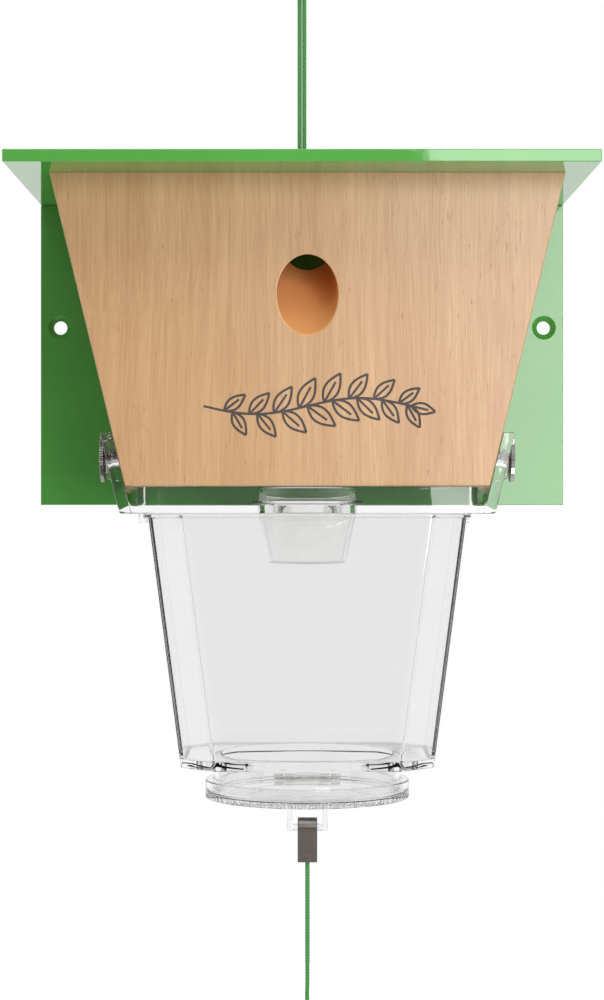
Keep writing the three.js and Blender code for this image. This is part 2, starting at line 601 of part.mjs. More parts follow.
// ---------------------------------------------------------------- hanging cord
const strand = STRAND_SPACING / 2;
const roofKnotTop = roofUnder - ROOF_KNOT_DROP;
const hangingHalf = [             // one half of the route, as distance aside and height above the roof
  [strand, 11.5], [strand, 31.5], [strand, 51.5], [strand, 64.5], [strand, 69.5],
  [2.6, 74], [5.4, 79], [7, 84.5], [5.6, 90],
];
const routeEnd = [strand, roofKnotTop + GAP - roofTop];
const upwards = [routeEnd, ...hangingHalf].map(([x, z]) => [SHEET_OFFSET - x, axisY, roofTop + z]);
const downwards = upwards.map(([x, y, z]) => [2 * SHEET_OFFSET - x, y, z]).reverse();
const loopTop = [SHEET_OFFSET, axisY, roofTop + 93.1];
const hangingRoute = [...upwards, loopTop, ...downwards];
piece('hanging_cord', cordTube(hangingRoute, 60), 'cord');

/** A knot's plain outer shape about Z: an egg of a given width and height, bored or not. */
function knot(width, height, bore = 0) {
  const points = [];
  const steps = 4;                // from the middle to each end
  const end = bore > 0 ? Math.acos((2 * bore) / width) : Math.PI / 2;
  for (let k = -steps; k <= steps; k += 1) {
    const angle = (end * k) / steps;
    points.push([(width / 2) * Math.cos(angle), (height / 2) * Math.sin(angle)]);
  }
  return turned(points, 12);
}
const strandsRadius = strand + CORD_DIAMETER / 2 + GAP;
const loopKnot = knot(LOOP_KNOT, LOOP_KNOT_HEIGHT, strandsRadius);
piece('loop_knot', loopKnot.translate(SHEET_OFFSET, axisY, roofTop + LOOP_KNOT_RISE), 'cord');
const roofKnot = knot(ROOF_KNOT, ROOF_KNOT);
piece('roof_knot', roofKnot.translate(SHEET_OFFSET, axisY, roofKnotTop - ROOF_KNOT / 2), 'cord');

// ---------------------------------------------------------------- pull cord and its hank
const pullDrops = [-0.8, 7, 15, 23, 31, 39, FREE_CORD - GAP];
const pullRoute = pullDrops.map((drop) => [0, barY, clipFoot - drop]);
piece('pull_cord', cordTube(pullRoute, 16), 'cord');

const hankFoot = hankTop - HANK_LENGTH;
const END_FLAT = 0.01;            // keeps the round ends' two arcs apart
const hankOutline = rounded([
  [-HANK_WIDTH / 2, hankFoot], [HANK_WIDTH / 2, hankFoot],
  [HANK_WIDTH / 2, hankTop], [-HANK_WIDTH / 2, hankTop],
], HANK_WIDTH / 2 - END_FLAT, 8);
piece('pull_cord_hank', slabY(hankOutline, barY - HANK_THICK / 2, barY + HANK_THICK / 2), 'cord');

const hankMiddle = (hankTop + hankFoot) / 2;

/** A rectangle in X and Y that goes round the hank at a given distance from it. */
function tieOutline(distance) {
  const x = HANK_WIDTH / 2 + distance;
  const y = HANK_THICK / 2 + distance;
  return rounded([[-x, barY - y], [x, barY - y], [x, barY + y], [-x, barY + y]], distance);
}
const tieFoot = hankMiddle - TIE_HEIGHT / 2;
const tie = solid(slabZ(tieOutline(GAP + TIE_THICK), tieFoot, tieFoot + TIE_HEIGHT))
  .subtract(solid(slabZ(tieOutline(GAP), hankMiddle - TIE_HEIGHT, hankMiddle + TIE_HEIGHT)));
piece('hank_tie', tie, 'cord');

const endKnotX = HANK_WIDTH / 2 + GAP + END_KNOT / 2;
const endKnot = knot(END_KNOT, END_KNOT);
piece('end_knot', endKnot.translate(endKnotX, barY, hankMiddle - END_KNOT_DROP), 'cord');

export default group;
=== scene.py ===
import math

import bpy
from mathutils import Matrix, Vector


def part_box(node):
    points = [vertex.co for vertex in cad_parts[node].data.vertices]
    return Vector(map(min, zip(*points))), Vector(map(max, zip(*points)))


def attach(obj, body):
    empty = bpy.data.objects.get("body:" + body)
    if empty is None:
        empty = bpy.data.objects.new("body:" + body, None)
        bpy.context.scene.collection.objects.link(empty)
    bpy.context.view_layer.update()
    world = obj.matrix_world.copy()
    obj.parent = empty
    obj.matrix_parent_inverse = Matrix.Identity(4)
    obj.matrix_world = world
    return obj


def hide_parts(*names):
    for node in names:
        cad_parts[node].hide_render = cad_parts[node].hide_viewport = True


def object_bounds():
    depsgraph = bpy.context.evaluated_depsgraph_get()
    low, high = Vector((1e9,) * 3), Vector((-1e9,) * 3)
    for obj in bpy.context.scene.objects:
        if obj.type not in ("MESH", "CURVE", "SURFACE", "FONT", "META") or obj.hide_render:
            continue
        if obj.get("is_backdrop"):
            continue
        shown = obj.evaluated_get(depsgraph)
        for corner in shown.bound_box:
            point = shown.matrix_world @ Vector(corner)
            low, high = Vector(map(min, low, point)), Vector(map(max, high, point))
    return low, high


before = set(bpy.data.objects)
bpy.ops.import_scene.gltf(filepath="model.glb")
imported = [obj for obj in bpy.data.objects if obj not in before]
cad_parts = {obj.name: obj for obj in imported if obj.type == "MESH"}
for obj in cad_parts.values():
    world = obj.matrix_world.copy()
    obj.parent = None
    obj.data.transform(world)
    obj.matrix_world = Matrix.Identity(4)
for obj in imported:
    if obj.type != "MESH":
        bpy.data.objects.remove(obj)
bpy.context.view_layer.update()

# The looks of a wooden wasp trap: green sheets, a wooden box with a slanted entrance, a clear
# tray, funnel and jar, a sprung emptying door, and the cords that hang it and open it.
# Metres, +Z up, the front towards -Y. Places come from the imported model.

MM = 0.001
X, Y, Z = Vector((1, 0, 0)), Vector((0, 1, 0)), Vector((0, 0, 1))
scene = bpy.context.scene

# ---------------------------------------------------------------- places taken from the model
roof_low, roof_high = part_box("roof_panel")
plate_low, plate_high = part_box("back_plate")
front_low, front_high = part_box("box_front")
side_low, side_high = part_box("box_side_right")
tray_low, tray_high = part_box("tray")
funnel_low, funnel_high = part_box("funnel")
jar_low, jar_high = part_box("jar")
ring_low, ring_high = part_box("door_ring")
door_low, door_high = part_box("door")
head_low, head_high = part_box("thumb_screw_right")
washer_low, washer_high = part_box("washer_right")
insert_low, insert_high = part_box("threaded_insert_right")
pin_low, pin_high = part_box("hinge_pin")
spring_low, spring_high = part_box("hinge_spring_right")
clip_low, clip_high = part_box("pull_clip")
hank_low, hank_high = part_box("pull_cord_hank")
tie_low, tie_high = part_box("hank_tie")

AXIS_Y = (funnel_low.y + funnel_high.y) / 2      # funnel, jar and door are round it
BORE = 10 * MM                                   # radius of the slanted entrance
BORE_CLIMB = math.radians(40)
MOUTH_Z = front_high.z - 39.8 * MM               # middle of the entrance on the box's front
WALL_DISTANCE = 863 * MM                         # camera to the wall
EYE_LEVEL = -62.7 * MM                           # camera's height, measured from the wall screws
SHEET_X = (roof_low.x + roof_high.x) / 2         # the roof and the back plate sit a little to the left
THUMB = Vector((0, AXIS_Y, (head_low.z + head_high.z) / 2))
HINGE = Vector((0, (pin_low.y + pin_high.y) / 2, (pin_low.z + pin_high.z) / 2))
CLIP_EYE = Vector((0, (clip_low.y + clip_high.y) / 2, 0))


def foot_half(node):
    """Half the width of a CAD node's bottom edge."""
    low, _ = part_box(node)
    return max(v.co.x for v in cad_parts[node].data.vertices if v.co.z < low.z + MM)


box_foot_half = foot_half("box_front")
lean = (front_high.x - box_foot_half) / (front_high.z - front_low.z)


def box_half(z):
    """Half the wooden box's width at a height."""
    return front_high.x - (front_high.z - z) * lean


# ---------------------------------------------------------------- camera
camera_data = bpy.data.cameras.new("front_camera")
camera_data.lens = 85
camera_data.sensor_width = 36
camera_data.clip_start = 0.05
camera = bpy.data.objects.new("front_camera", camera_data)
camera.location = (SHEET_X, -WALL_DISTANCE, EYE_LEVEL)
camera.rotation_euler = (math.pi / 2, 0, 0)
scene.collection.objects.link(camera)
scene.camera = camera


# ---------------------------------------------------------------- modelling helpers
def deselect_all():
    bpy.ops.object.select_all(action="DESELECT")


def work_on(piece):
    """Selects this piece alone and makes it the active one."""
    deselect_all()
    piece.select_set(True)
    bpy.context.view_layer.objects.active = piece


def settle(piece):
    """Puts a piece's place, turn and size into its mesh."""
    work_on(piece)
    bpy.ops.object.transform_apply(location=True, rotation=True, scale=True)
    return piece


def in_edit_mode(piece, kind):
    """Opens a piece in edit mode with nothing selected."""
    work_on(piece)
    bpy.ops.object.mode_set(mode="EDIT")
    bpy.ops.mesh.select_mode(type=kind)
    bpy.ops.mesh.select_all(action="DESELECT")


def done_editing():
    bpy.ops.object.mode_set(mode="OBJECT")


def select_edges(piece, test):
    """Selects the edges whose two ends pass the test, and stays in edit mode."""
    in_edit_mode(piece, "EDGE")
    done_editing()
    points = [v.co for v in piece.data.vertices]
    for edge in piece.data.edges:
        edge.select = test(*(points[i] for i in edge.vertices))
    bpy.ops.object.mode_set(mode="EDIT")


def face_outwards(piece, merge=1e-7):
    """Merges doubles and turns all faces outwards."""
    in_edit_mode(piece, "FACE")
    bpy.ops.mesh.select_all(action="SELECT")
    bpy.ops.mesh.remove_doubles(threshold=merge)
    bpy.ops.mesh.delete_loose(use_verts=True, use_edges=True, use_faces=False)
    bpy.ops.mesh.select_all(action="SELECT")
    bpy.ops.mesh.normals_make_consistent(inside=False)
    done_editing()
    return piece


def round_edges(piece, width, segments=2, test=lambda a, b: True):
    """Bevels the edges whose two ends pass the test."""
    select_edges(piece, test)
    bpy.ops.mesh.bevel(offset=width, segments=segments, affect="EDGES", clamp_overlap=True)
    done_editing()
    return piece


def block(low, high):
    """A box between two corners."""
    deselect_all()
    low, high = Vector(low), Vector(high)
    bpy.ops.mesh.primitive_cube_add(size=1, location=(low + high) / 2, scale=high - low)
    return settle(bpy.context.object)


def rod(start, end, radius, end_radius=None, sides=64):
    """A cylinder or cone from one point to another."""
    deselect_all()
    start, end = Vector(start), Vector(end)
    turn = (end - start).to_track_quat("Z", "Y").to_euler()
    last = radius if end_radius is None else end_radius
    bpy.ops.mesh.primitive_cone_add(vertices=sides, radius1=radius, radius2=last,
                                    depth=(end - start).length, location=(start + end) / 2, rotation=turn)
    return settle(bpy.context.object)


def flat_outline(points, fill="NGON"):
    """A flat shape whose corners are these points."""
    deselect_all()
    bpy.ops.mesh.primitive_circle_add(vertices=len(points), fill_type=fill)
    piece = bpy.context.object
    for vertex, point in zip(piece.data.vertices, points):
        vertex.co = point
    return piece


def extruded(outline, place, along):
    """A solid from an outline of (u, v) points, each placed by place(u, v), pulled along a vector."""
    piece = flat_outline([place(u, v) for u, v in outline])
    in_edit_mode(piece, "FACE")
    bpy.ops.mesh.select_all(action="SELECT")
    bpy.ops.mesh.extrude_region_move(TRANSFORM_OT_translate={"value": along})
    done_editing()
    return face_outwards(piece)


def upright(outline, low, high):
    """An outline drawn in X and Y, from one height to another."""
    return extruded(outline, lambda u, v: (u, v, low), (0, 0, high - low))


def crosswise(outline, front, back):
    """An outline drawn in X and Z, from a front Y to a back Y."""
    return extruded(outline, lambda u, v: (u, front, v), (0, back - front, 0))


def tapered(low_outline, low, high_outline, high):
    """A solid between two outlines drawn in X and Y that have as many points each."""
    piece = upright(low_outline, low, high)
    middle = (low + high) / 2
    for vertex in piece.data.vertices:
        if vertex.co.z > middle:
            nearest = min(range(len(low_outline)),
                          key=lambda i: (vertex.co.xy - Vector(low_outline[i])).length)
            vertex.co.xy = high_outline[nearest]
    return piece


def turned(profile, centre, towards=Z, sides=64):
    """A solid of revolution from (radius, height) points that run round half its section."""
    piece = flat_outline([(radius, 0, height) for radius, height in profile], fill="NOTHING")
    in_edit_mode(piece, "EDGE")
    bpy.ops.mesh.select_all(action="SELECT")
    bpy.ops.mesh.spin(steps=sides, angle=2 * math.pi, center=(0, 0, 0), axis=(0, 0, 1))
    done_editing()
    face_outwards(piece, merge=2e-6)
    piece.rotation_euler = Vector(towards).to_track_quat("Z", "Y").to_euler()
    piece.location = centre
    return settle(piece)


def rounded(points, radii, steps=5):
    """An outline with its corners rounded: one radius for all, or one for each."""
    outline = []
    for i, corner in enumerate(points):
        radius = radii[i] if isinstance(radii, (list, tuple)) else radii
        here = Vector(corner)
        if radius == 0:
            outline.append(tuple(here))
            continue
        before = (Vector(points[i - 1]) - here).normalized()
        after = (Vector(points[(i + 1) % len(points)]) - here).normalized()
        half = before.angle(after) / 2
        centre = here + (before + after).normalized() * (radius / math.sin(half))
        start = here + before * (radius / math.tan(half)) - centre
        end = here + after * (radius / math.tan(half)) - centre
        sweep = math.atan2(start.cross(end), start.dot(end))
        for k in range(steps + 1):
            angle = sweep * k / steps
            turn = (start.x * math.cos(angle) - start.y * math.sin(angle),
                    start.x * math.sin(angle) + start.y * math.cos(angle))
            outline.append((centre.x + turn[0], centre.y + turn[1]))
    return outline


def combine(piece, others, operation):
    """Joins, cuts or keeps what is shared with other solids, which are used up."""
    for other in others:
        work_on(piece)
        modifier = piece.modifiers.new(operation, "BOOLEAN")
        modifier.operation = operation
        modifier.solver = "EXACT"
        modifier.object = other
        bpy.ops.object.modifier_apply(modifier=modifier.name)
        bpy.data.objects.remove(other)
    return piece


def joined(piece, *others):
    return combine(piece, others, "UNION")


def cut(piece, *others):
    return combine(piece, others, "DIFFERENCE")


def copy_of(piece):
    """A copy with its own mesh."""
    copy = piece.copy()
    copy.data = piece.data.copy()
    scene.collection.objects.link(copy)
    return copy


def mirrored(piece):
    """A copy on the other side of the middle plane."""
    copy = copy_of(piece)
    copy.scale.x = -1
    settle(copy)
    return face_outwards(copy)


def smooth(piece, degrees=35):
    """Smooth shading up to an angle; large faces stay flat beside their rounded edges."""
    work_on(piece)
    bpy.ops.object.shade_smooth_by_angle(angle=math.radians(degrees))
    modifier = piece.modifiers.new("flat_faces", "WEIGHTED_NORMAL")
    modifier.keep_sharp = True
    modifier.weight = 100
    bpy.ops.object.modifier_apply(modifier=modifier.name)
    return piece


def hand_over(piece, name, body, material, stands_for=()):
    """Names a finished piece, gives it its finish, and fixes it to its body."""
    piece.name = name
    piece.data.name = name
    piece.data.materials.clear()
    piece.data.materials.append(material)
    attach(piece, body)
    if stands_for:
        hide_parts(*stands_for)
    return piece


# ---------------------------------------------------------------- material helpers
def feed(tree, made, inputs):
    """Links each input of a node to the socket that it is given, or sets it to the value."""
    for key, value in inputs.items():
        if isinstance(value, bpy.types.NodeSocket):
            tree.links.new(value, made.inputs[key])
        else:
            made.inputs[key].default_value = value
    return made


def node(tree, kind, inputs=None, **settings):
    """Adds a shader node, with its settings, and sets or links its inputs."""
    made = tree.nodes.new("ShaderNode" + kind)
    for key, value in settings.items():
        setattr(made, key, value)
    return feed(tree, made, inputs or {})


def maths(tree, operation, a, b=0.0):
    return node(tree, "Math", {0: a, 1: b}, operation=operation).outputs[0]


def ramp(tree, value, low, high, to_low=0.0, to_high=1.0):
    """A value stretched from one range to another, and held inside it."""
    made = node(tree, "MapRange", {"Value": value, "From Min": low, "From Max": high,
                                   "To Min": to_low, "To Max": to_high})
    return made.outputs["Result"]


def blend(tree, share, a, b):
    """A colour between two others."""
    return node(tree, "Mix", {0: share, 6: a, 7: b}, data_type="RGBA").outputs[2]


def group_tree(name, inputs, outputs):
    """A new node group, its input and output nodes, with sockets of (name, type, value)."""
    tree = bpy.data.node_groups.new(name, "ShaderNodeTree")
    for label, kind, value in inputs:
        socket = tree.interface.new_socket(label, in_out="INPUT", socket_type="NodeSocket" + kind)
        if value is not None:
            socket.default_value = value
    for label, kind in outputs:
        tree.interface.new_socket(label, in_out="OUTPUT", socket_type="NodeSocket" + kind)
    return tree, tree.nodes.new("NodeGroupInput"), tree.nodes.new("NodeGroupOutput")


def use_group(tree, group, inputs):
    made = tree.nodes.new("ShaderNodeGroup")
    made.node_tree = group
    return feed(tree, made, inputs)


def linear(red, green, blue, alpha=1.0):
    """A colour from its 0 to 255 display values."""
    def decode(value):
        share = value / 255
        return share / 12.92 if share <= 0.04045 else ((share + 0.055) / 1.055) ** 2.4
    return decode(red), decode(green), decode(blue), alpha


def new_material(name):
    """A material, its node tree and its Principled shader."""
    material = bpy.data.materials.new(name)
    material.use_nodes = True
    return material, material.node_tree, material.node_tree.nodes["Principled BSDF"]


def plug(tree, value, socket):
    tree.links.new(value, socket)


# ---------------------------------------------------------------- shared effects
def make_handling_group():
    """Smudges and fine scratches of a handled surface: masks and a height."""
    tree, given, result = group_tree(
        "handling",
        [("Vector", "Vector", None), ("Smudge Size", "Float", 60.0), ("Scratch Size", "Float", 900.0)],
        [("Smudge", "Float"), ("Scratch", "Float"), ("Height", "Float")])
    smudge = node(tree, "TexNoise", {"Vector": given.outputs["Vector"], "Scale": given.outputs["Smudge Size"],
                                     "Detail": 5.0, "Roughness": 0.6})
    tilted = node(tree, "Mapping", {"Vector": given.outputs["Vector"], "Rotation": (0.3, 0.5, 0.7),
                                    "Scale": (1.0, 0.05, 1.0)})
    scratch = node(tree, "TexNoise", {"Vector": tilted.outputs["Vector"], "Detail": 2.0, "Roughness": 0.5,
                                      "Scale": given.outputs["Scratch Size"]})
    peel = node(tree, "TexNoise", {"Vector": given.outputs["Vector"], "Scale": 420.0, "Detail": 1.0})
    lines = ramp(tree, scratch.outputs["Fac"], 0.66, 0.74)
    plug(tree, ramp(tree, smudge.outputs["Fac"], 0.35, 0.7), result.inputs["Smudge"])
    plug(tree, lines, result.inputs["Scratch"])
    plug(tree, maths(tree, "SUBTRACT", peel.outputs["Fac"], maths(tree, "MULTIPLY", lines, 0.4)),
         result.inputs["Height"])
    return tree


def make_grain_group():
    """Light close-grained wood, grain along Z: a colour, a height and a pore mask."""
    tree, given, result = group_tree(
        "wood_grain",
        [("Vector", "Vector", None), ("Light", "Color", (1, 1, 1, 1)), ("Dark", "Color", (0, 0, 0, 1)),
         ("Pore", "Color", (0, 0, 0, 1))],
        [("Colour", "Color"), ("Height", "Float"), ("Pores", "Float")])
    drawn_out = node(tree, "Mapping", {"Vector": given.outputs["Vector"], "Scale": (1.0, 1.0, 0.45)})
    wander = node(tree, "TexNoise", {"Vector": drawn_out.outputs["Vector"], "Scale": 26.0, "Detail": 2.0})
    shift = node(tree, "VectorMath", {0: wander.outputs["Color"], 1: (0.008, 0.008, 0.0)},
                 operation="MULTIPLY")
    grainwise = node(tree, "VectorMath", {0: given.outputs["Vector"], 1: shift.outputs["Vector"]},
                     operation="ADD")

    def stretched(across, along, detail, roughness=0.5):
        """Noise that is across per metre over the grain, and along per metre down it."""
        mapping = node(tree, "Mapping", {"Vector": grainwise.outputs["Vector"],
                                         "Scale": (across, across, along)})
        return node(tree, "TexNoise", {"Vector": mapping.outputs["Vector"], "Scale": 1.0,
                                       "Detail": detail, "Roughness": roughness}).outputs["Fac"]

    bands = stretched(55, 5, 3.0)
    rings = stretched(330, 9, 3.0, 0.6)
    streaks = stretched(1500, 38, 2.0)
    flecks = stretched(2600, 230, 1.0)
    mask = ramp(tree, flecks, 0.68, 0.76)
    tone = maths(tree, "ADD", maths(tree, "MULTIPLY", bands, 0.3), maths(tree, "MULTIPLY", rings, 0.35))
    tone = maths(tree, "ADD", tone, maths(tree, "MULTIPLY", streaks, 0.35))
    colour = blend(tree, ramp(tree, tone, 0.38, 0.62), given.outputs["Dark"], given.outputs["Light"])
    colour = blend(tree, maths(tree, "MULTIPLY", mask, 0.4), colour, given.outputs["Pore"])
    plug(tree, colour, result.inputs["Colour"])
    plug(tree, maths(tree, "SUBTRACT", streaks, maths(tree, "MULTIPLY", mask, 0.7)),
         result.inputs["Height"])
    plug(tree, mask, result.inputs["Pores"])
    return tree


def make_braid_group():
    """A round braid: strands cross at a slant round the cord. U goes round it, V along it in metres. Besides
    the height it gives painted shade, dark in the grooves where strands meet, mixed with fibre tone.
    """
    tree, given, result = group_tree(
        "cord_braid",
        [("UV", "Vector", None), ("Strands", "Float", 4.0), ("Pitch", "Float", 1.9 * MM)],
        [("Height", "Float"), ("Painted Shade And Fibre", "Float")])
    parts = node(tree, "SeparateXYZ", {"Vector": given.outputs["UV"]})
    around = maths(tree, "MULTIPLY", parts.outputs["X"], given.outputs["Strands"])
    along = maths(tree, "DIVIDE", parts.outputs["Y"], given.outputs["Pitch"])
    waves = []
    for operation in ("ADD", "SUBTRACT"):
        turns = maths(tree, operation, around, along)
        waves.append(maths(tree, "SINE", maths(tree, "MULTIPLY", turns, 2 * math.pi)))
    crossing = maths(tree, "MULTIPLY", waves[0], waves[1])
    fine = node(tree, "Mapping", {"Vector": given.outputs["UV"], "Scale": (30.0, 900.0, 1.0)})
    fibre = node(tree, "TexNoise", {"Vector": fine.outputs["Vector"], "Scale": 1.0, "Detail": 3.0})
    height = maths(tree, "ADD", ramp(tree, crossing, -1.0, 1.0),
                   maths(tree, "MULTIPLY", fibre.outputs["Fac"], 0.35))
    plug(tree, height, result.inputs["Height"])
    # painted shade: darker in the grooves between the strands, with the fibres' own tone mixed in
    plug(tree, ramp(tree, maths(tree, "ADD", crossing, fibre.outputs["Fac"]), -0.6, 1.4),
         result.inputs["Painted Shade And Fibre"])
    return tree


handling = make_handling_group()
wood_grain = make_grain_group()
cord_braid = make_braid_group()


def bumped(tree, shader, height, distance, strength=1.0):
    bump = node(tree, "Bump", {"Height": height, "Distance": distance, "Strength": strength})
    plug(tree, bump.outputs["Normal"], shader.inputs["Normal"])


def object_place(tree, shift=(0, 0, 0), turn=(0, 0, 0)):
    """The surface's own coordinates, shifted and turned for this finish."""
    coordinates = node(tree, "TexCoord")
    return node(tree, "Mapping", {"Vector": coordinates.outputs["Object"], "Location": shift,
                                  "Rotation": turn}).outputs["Vector"]


# ---------------------------------------------------------------- finishes
def scratched(tree, marks, share, colour, paler):
    """A colour with a share of a paler one along its scratches."""
    return blend(tree, maths(tree, "MULTIPLY", marks.outputs["Scratch"], share), colour, paler)


def green_sheet_finish():
    """Glossy leaf-green sheet with faint smudges and an almost flat orange peel."""
    material, tree, shader = new_material("green_sheet")
    marks = use_group(tree, handling, {"Vector": object_place(tree), "Smudge Size": 24.0})
    colour = blend(tree, marks.outputs["Smudge"], linear(84, 161, 70), linear(79, 155, 66))
    colour = scratched(tree, marks, 0.1, colour, linear(120, 190, 110))
    plug(tree, colour, shader.inputs["Base Color"])
    rough = maths(tree, "ADD", ramp(tree, marks.outputs["Smudge"], 0.0, 1.0, 0.03, 0.06),
                  maths(tree, "MULTIPLY", marks.outputs["Scratch"], 0.1))
    plug(tree, rough, shader.inputs["Roughness"])
    shader.inputs["IOR"].default_value = 1.5
    bumped(tree, shader, marks.outputs["Height"], 0.004 * MM)
    return material


def bore_mask(tree):
    """1 on the wall of the entrance bore, 0 outside it."""
    mouth = (0.0, front_low.y, MOUTH_Z)
    climb = (0.0, math.cos(BORE_CLIMB), math.sin(BORE_CLIMB))
    place = node(tree, "VectorMath", {0: object_place(tree), 1: mouth}, operation="SUBTRACT")
    aside = node(tree, "VectorMath", {0: place.outputs["Vector"], 1: climb}, operation="CROSS_PRODUCT")
    distance = node(tree, "VectorMath", {0: aside.outputs["Vector"]}, operation="LENGTH")
    return ramp(tree, distance.outputs["Value"], BORE + 0.3 * MM, BORE + 0.1 * MM)


def wood_finish(name, shift, turn=(0, 0, 0), bored=False):
    """Sanded bare wood; the shift picks another stretch of the same board.

    A bored board has light painted inside its bore: its wall is brighter and more orange than the face.
    """
    material, tree, shader = new_material(name)
    grain = use_group(tree, wood_grain, {
        "Vector": object_place(tree, shift, turn), "Light": linear(204, 164, 121),
        "Dark": linear(185, 142, 99), "Pore": linear(128, 84, 52)})
    colour = grain.outputs["Colour"]
    if bored:
        # painted light: the bore's wall is painted brighter and warmer, as if lit inside
        colour = blend(tree, maths(tree, "MULTIPLY", bore_mask(tree), 0.8), colour, linear(238, 166, 100))
    plug(tree, colour, shader.inputs["Base Color"])
    plug(tree, ramp(tree, grain.outputs["Pores"], 0.0, 1.0, 0.33, 0.6), shader.inputs["Roughness"])
    bumped(tree, shader, grain.outputs["Height"], 0.03 * MM)
    return material


def clear_finish(name, tint, shift):
    """Clear moulded plastic; tint is the share of light that one wall lets through."""
    material, tree, shader = new_material(name)
    marks = use_group(tree, handling, {"Vector": object_place(tree, shift), "Smudge Size": 40.0})
    warm = (tint, tint * 0.999, tint * 0.997, 1)
    faint = (tint * 0.99, tint * 0.99, tint * 0.988, 1)
    plug(tree, blend(tree, marks.outputs["Smudge"], warm, faint), shader.inputs["Base Color"])
    rough = maths(tree, "ADD", ramp(tree, marks.outputs["Smudge"], 0.0, 1.0, 0.0, 0.02),
                  maths(tree, "MULTIPLY", marks.outputs["Scratch"], 0.04))
    plug(tree, rough, shader.inputs["Roughness"])
    shader.inputs["Transmission Weight"].default_value = 1.0
    shader.inputs["IOR"].default_value = 1.49
    bumped(tree, shader, marks.outputs["Height"], 0.0006 * MM)
    # light from the lamps reaches what is behind the plastic, dimmed by each wall it crosses
    through = node(tree, "BsdfTransparent", {"Color": (0.985, 0.985, 0.985, 1)})
    path = node(tree, "LightPath")
    mixed = node(tree, "MixShader", {0: path.outputs["Is Shadow Ray"], 1: shader.outputs["BSDF"],
                                     2: through.outputs["BSDF"]})
    plug(tree, mixed.outputs["Shader"], tree.nodes["Material Output"].inputs["Surface"])
    return material


def metal_finish(name, bright, dull, roughness, scratches=900.0):
    """Plated or turned metal with rubbed patches and fine scratches."""
    material, tree, shader = new_material(name)
    marks = use_group(tree, handling, {"Vector": object_place(tree), "Smudge Size": 160.0,
                                       "Scratch Size": scratches})
    colour = blend(tree, marks.outputs["Smudge"], bright, dull)
    plug(tree, colour, shader.inputs["Base Color"])
    shader.inputs["Metallic"].default_value = 1.0
    rough = maths(tree, "ADD", ramp(tree, marks.outputs["Smudge"], 0.0, 1.0, roughness, roughness + 0.12),
                  maths(tree, "MULTIPLY", marks.outputs["Scratch"], 0.15))
    plug(tree, rough, shader.inputs["Roughness"])
    bumped(tree, shader, marks.outputs["Height"], 0.006 * MM)
    return material


def clip_finish():
    """Dark warm grey satin finish on the folded steel clip, rubbed a little paler."""
    material, tree, shader = new_material("clip_paint")
    marks = use_group(tree, handling, {"Vector": object_place(tree), "Smudge Size": 220.0,
                                       "Scratch Size": 1400.0})
    colour = blend(tree, marks.outputs["Smudge"], linear(110, 104, 100), linear(101, 96, 92))
    colour = scratched(tree, marks, 0.35, colour, linear(150, 144, 138))
    plug(tree, colour, shader.inputs["Base Color"])
    shader.inputs["Metallic"].default_value = 1.0
    plug(tree, ramp(tree, marks.outputs["Smudge"], 0.0, 1.0, 0.3, 0.38), shader.inputs["Roughness"])
    bumped(tree, shader, marks.outputs["Height"], 0.006 * MM)
    return material


def cord_finish():
    """Thin braided cord, bright leaf green, with shade painted darker between its strands."""
    material, tree, shader = new_material("green_cord")
    uv = node(tree, "UVMap", uv_map="round_and_along").outputs["UV"]
    braid = use_group(tree, cord_braid, {"UV": uv})
    # painted shade sets the colour: dark in the grooves between strands, with the fibres' own tone
    colour = blend(tree, braid.outputs["Painted Shade And Fibre"], linear(38, 108, 40), linear(84, 164, 86))
    plug(tree, colour, shader.inputs["Base Color"])
    plug(tree, ramp(tree, braid.outputs["Painted Shade And Fibre"], 0.0, 1.0, 0.7, 0.5), shader.inputs["Roughness"])
    shader.inputs["Sheen Weight"].default_value = 0.1
    bumped(tree, shader, braid.outputs["Height"], 0.12 * MM)
    return material


def ink_finish():
    """Dark brown print that has sunk a little into the grain."""
    material, tree, shader = new_material("ornament_ink")
    grain = use_group(tree, wood_grain, {"Vector": object_place(tree), "Light": linear(76, 66, 64),
                                         "Dark": linear(60, 51, 50), "Pore": linear(110, 82, 66)})
    plug(tree, grain.outputs["Colour"], shader.inputs["Base Color"])
    plug(tree, ramp(tree, grain.outputs["Pores"], 0.0, 1.0, 0.55, 0.7), shader.inputs["Roughness"])
    bumped(tree, shader, grain.outputs["Height"], 0.02 * MM)
    return material


green_sheet = green_sheet_finish()
front_wood = wood_finish("front_wood", (0, 0, 0), bored=True)
side_woods = {1: wood_finish("right_side_wood", (0.31, 0.4, 0.2), (0, 0.23, 0)),
              -1: wood_finish("left_side_wood", (0.7, 0.15, 0.5), (0, -0.23, 0))}
clear_tray = clear_finish("clear_tray", 0.99, (0, 0, 0))
clear_funnel = clear_finish("clear_funnel", 0.998, (0.2, 0, 0))
clear_jar = clear_finish("clear_jar", 0.942, (0.4, 0, 0))
clear_ring = clear_finish("clear_ring", 0.95, (0.6, 0, 0))
clear_door = clear_finish("clear_door", 0.95, (0.8, 0, 0))
screw_steel = metal_finish("screw_steel", (0.62, 0.62, 0.6, 1), (0.46, 0.46, 0.44, 1), 0.28)
thumb_steel = metal_finish("thumb_steel", (0.42, 0.4, 0.39, 1), (0.3, 0.29, 0.28, 1), 0.18)
spring_steel = metal_finish("spring_steel", (0.72, 0.72, 0.7, 1), (0.6, 0.6, 0.58, 1), 0.22)
insert_brass = metal_finish("insert_brass", (0.72, 0.5, 0.22, 1), (0.55, 0.37, 0.16, 1), 0.25)
clip_paint = clip_finish()
green_cord = cord_finish()
ornament_ink = ink_finish()

# ---------------------------------------------------------------- cords
CORD = 1.5 * MM
STRAND = 0.8 * MM                # each hanging strand, beside the middle
TUBE_SIDES = 10


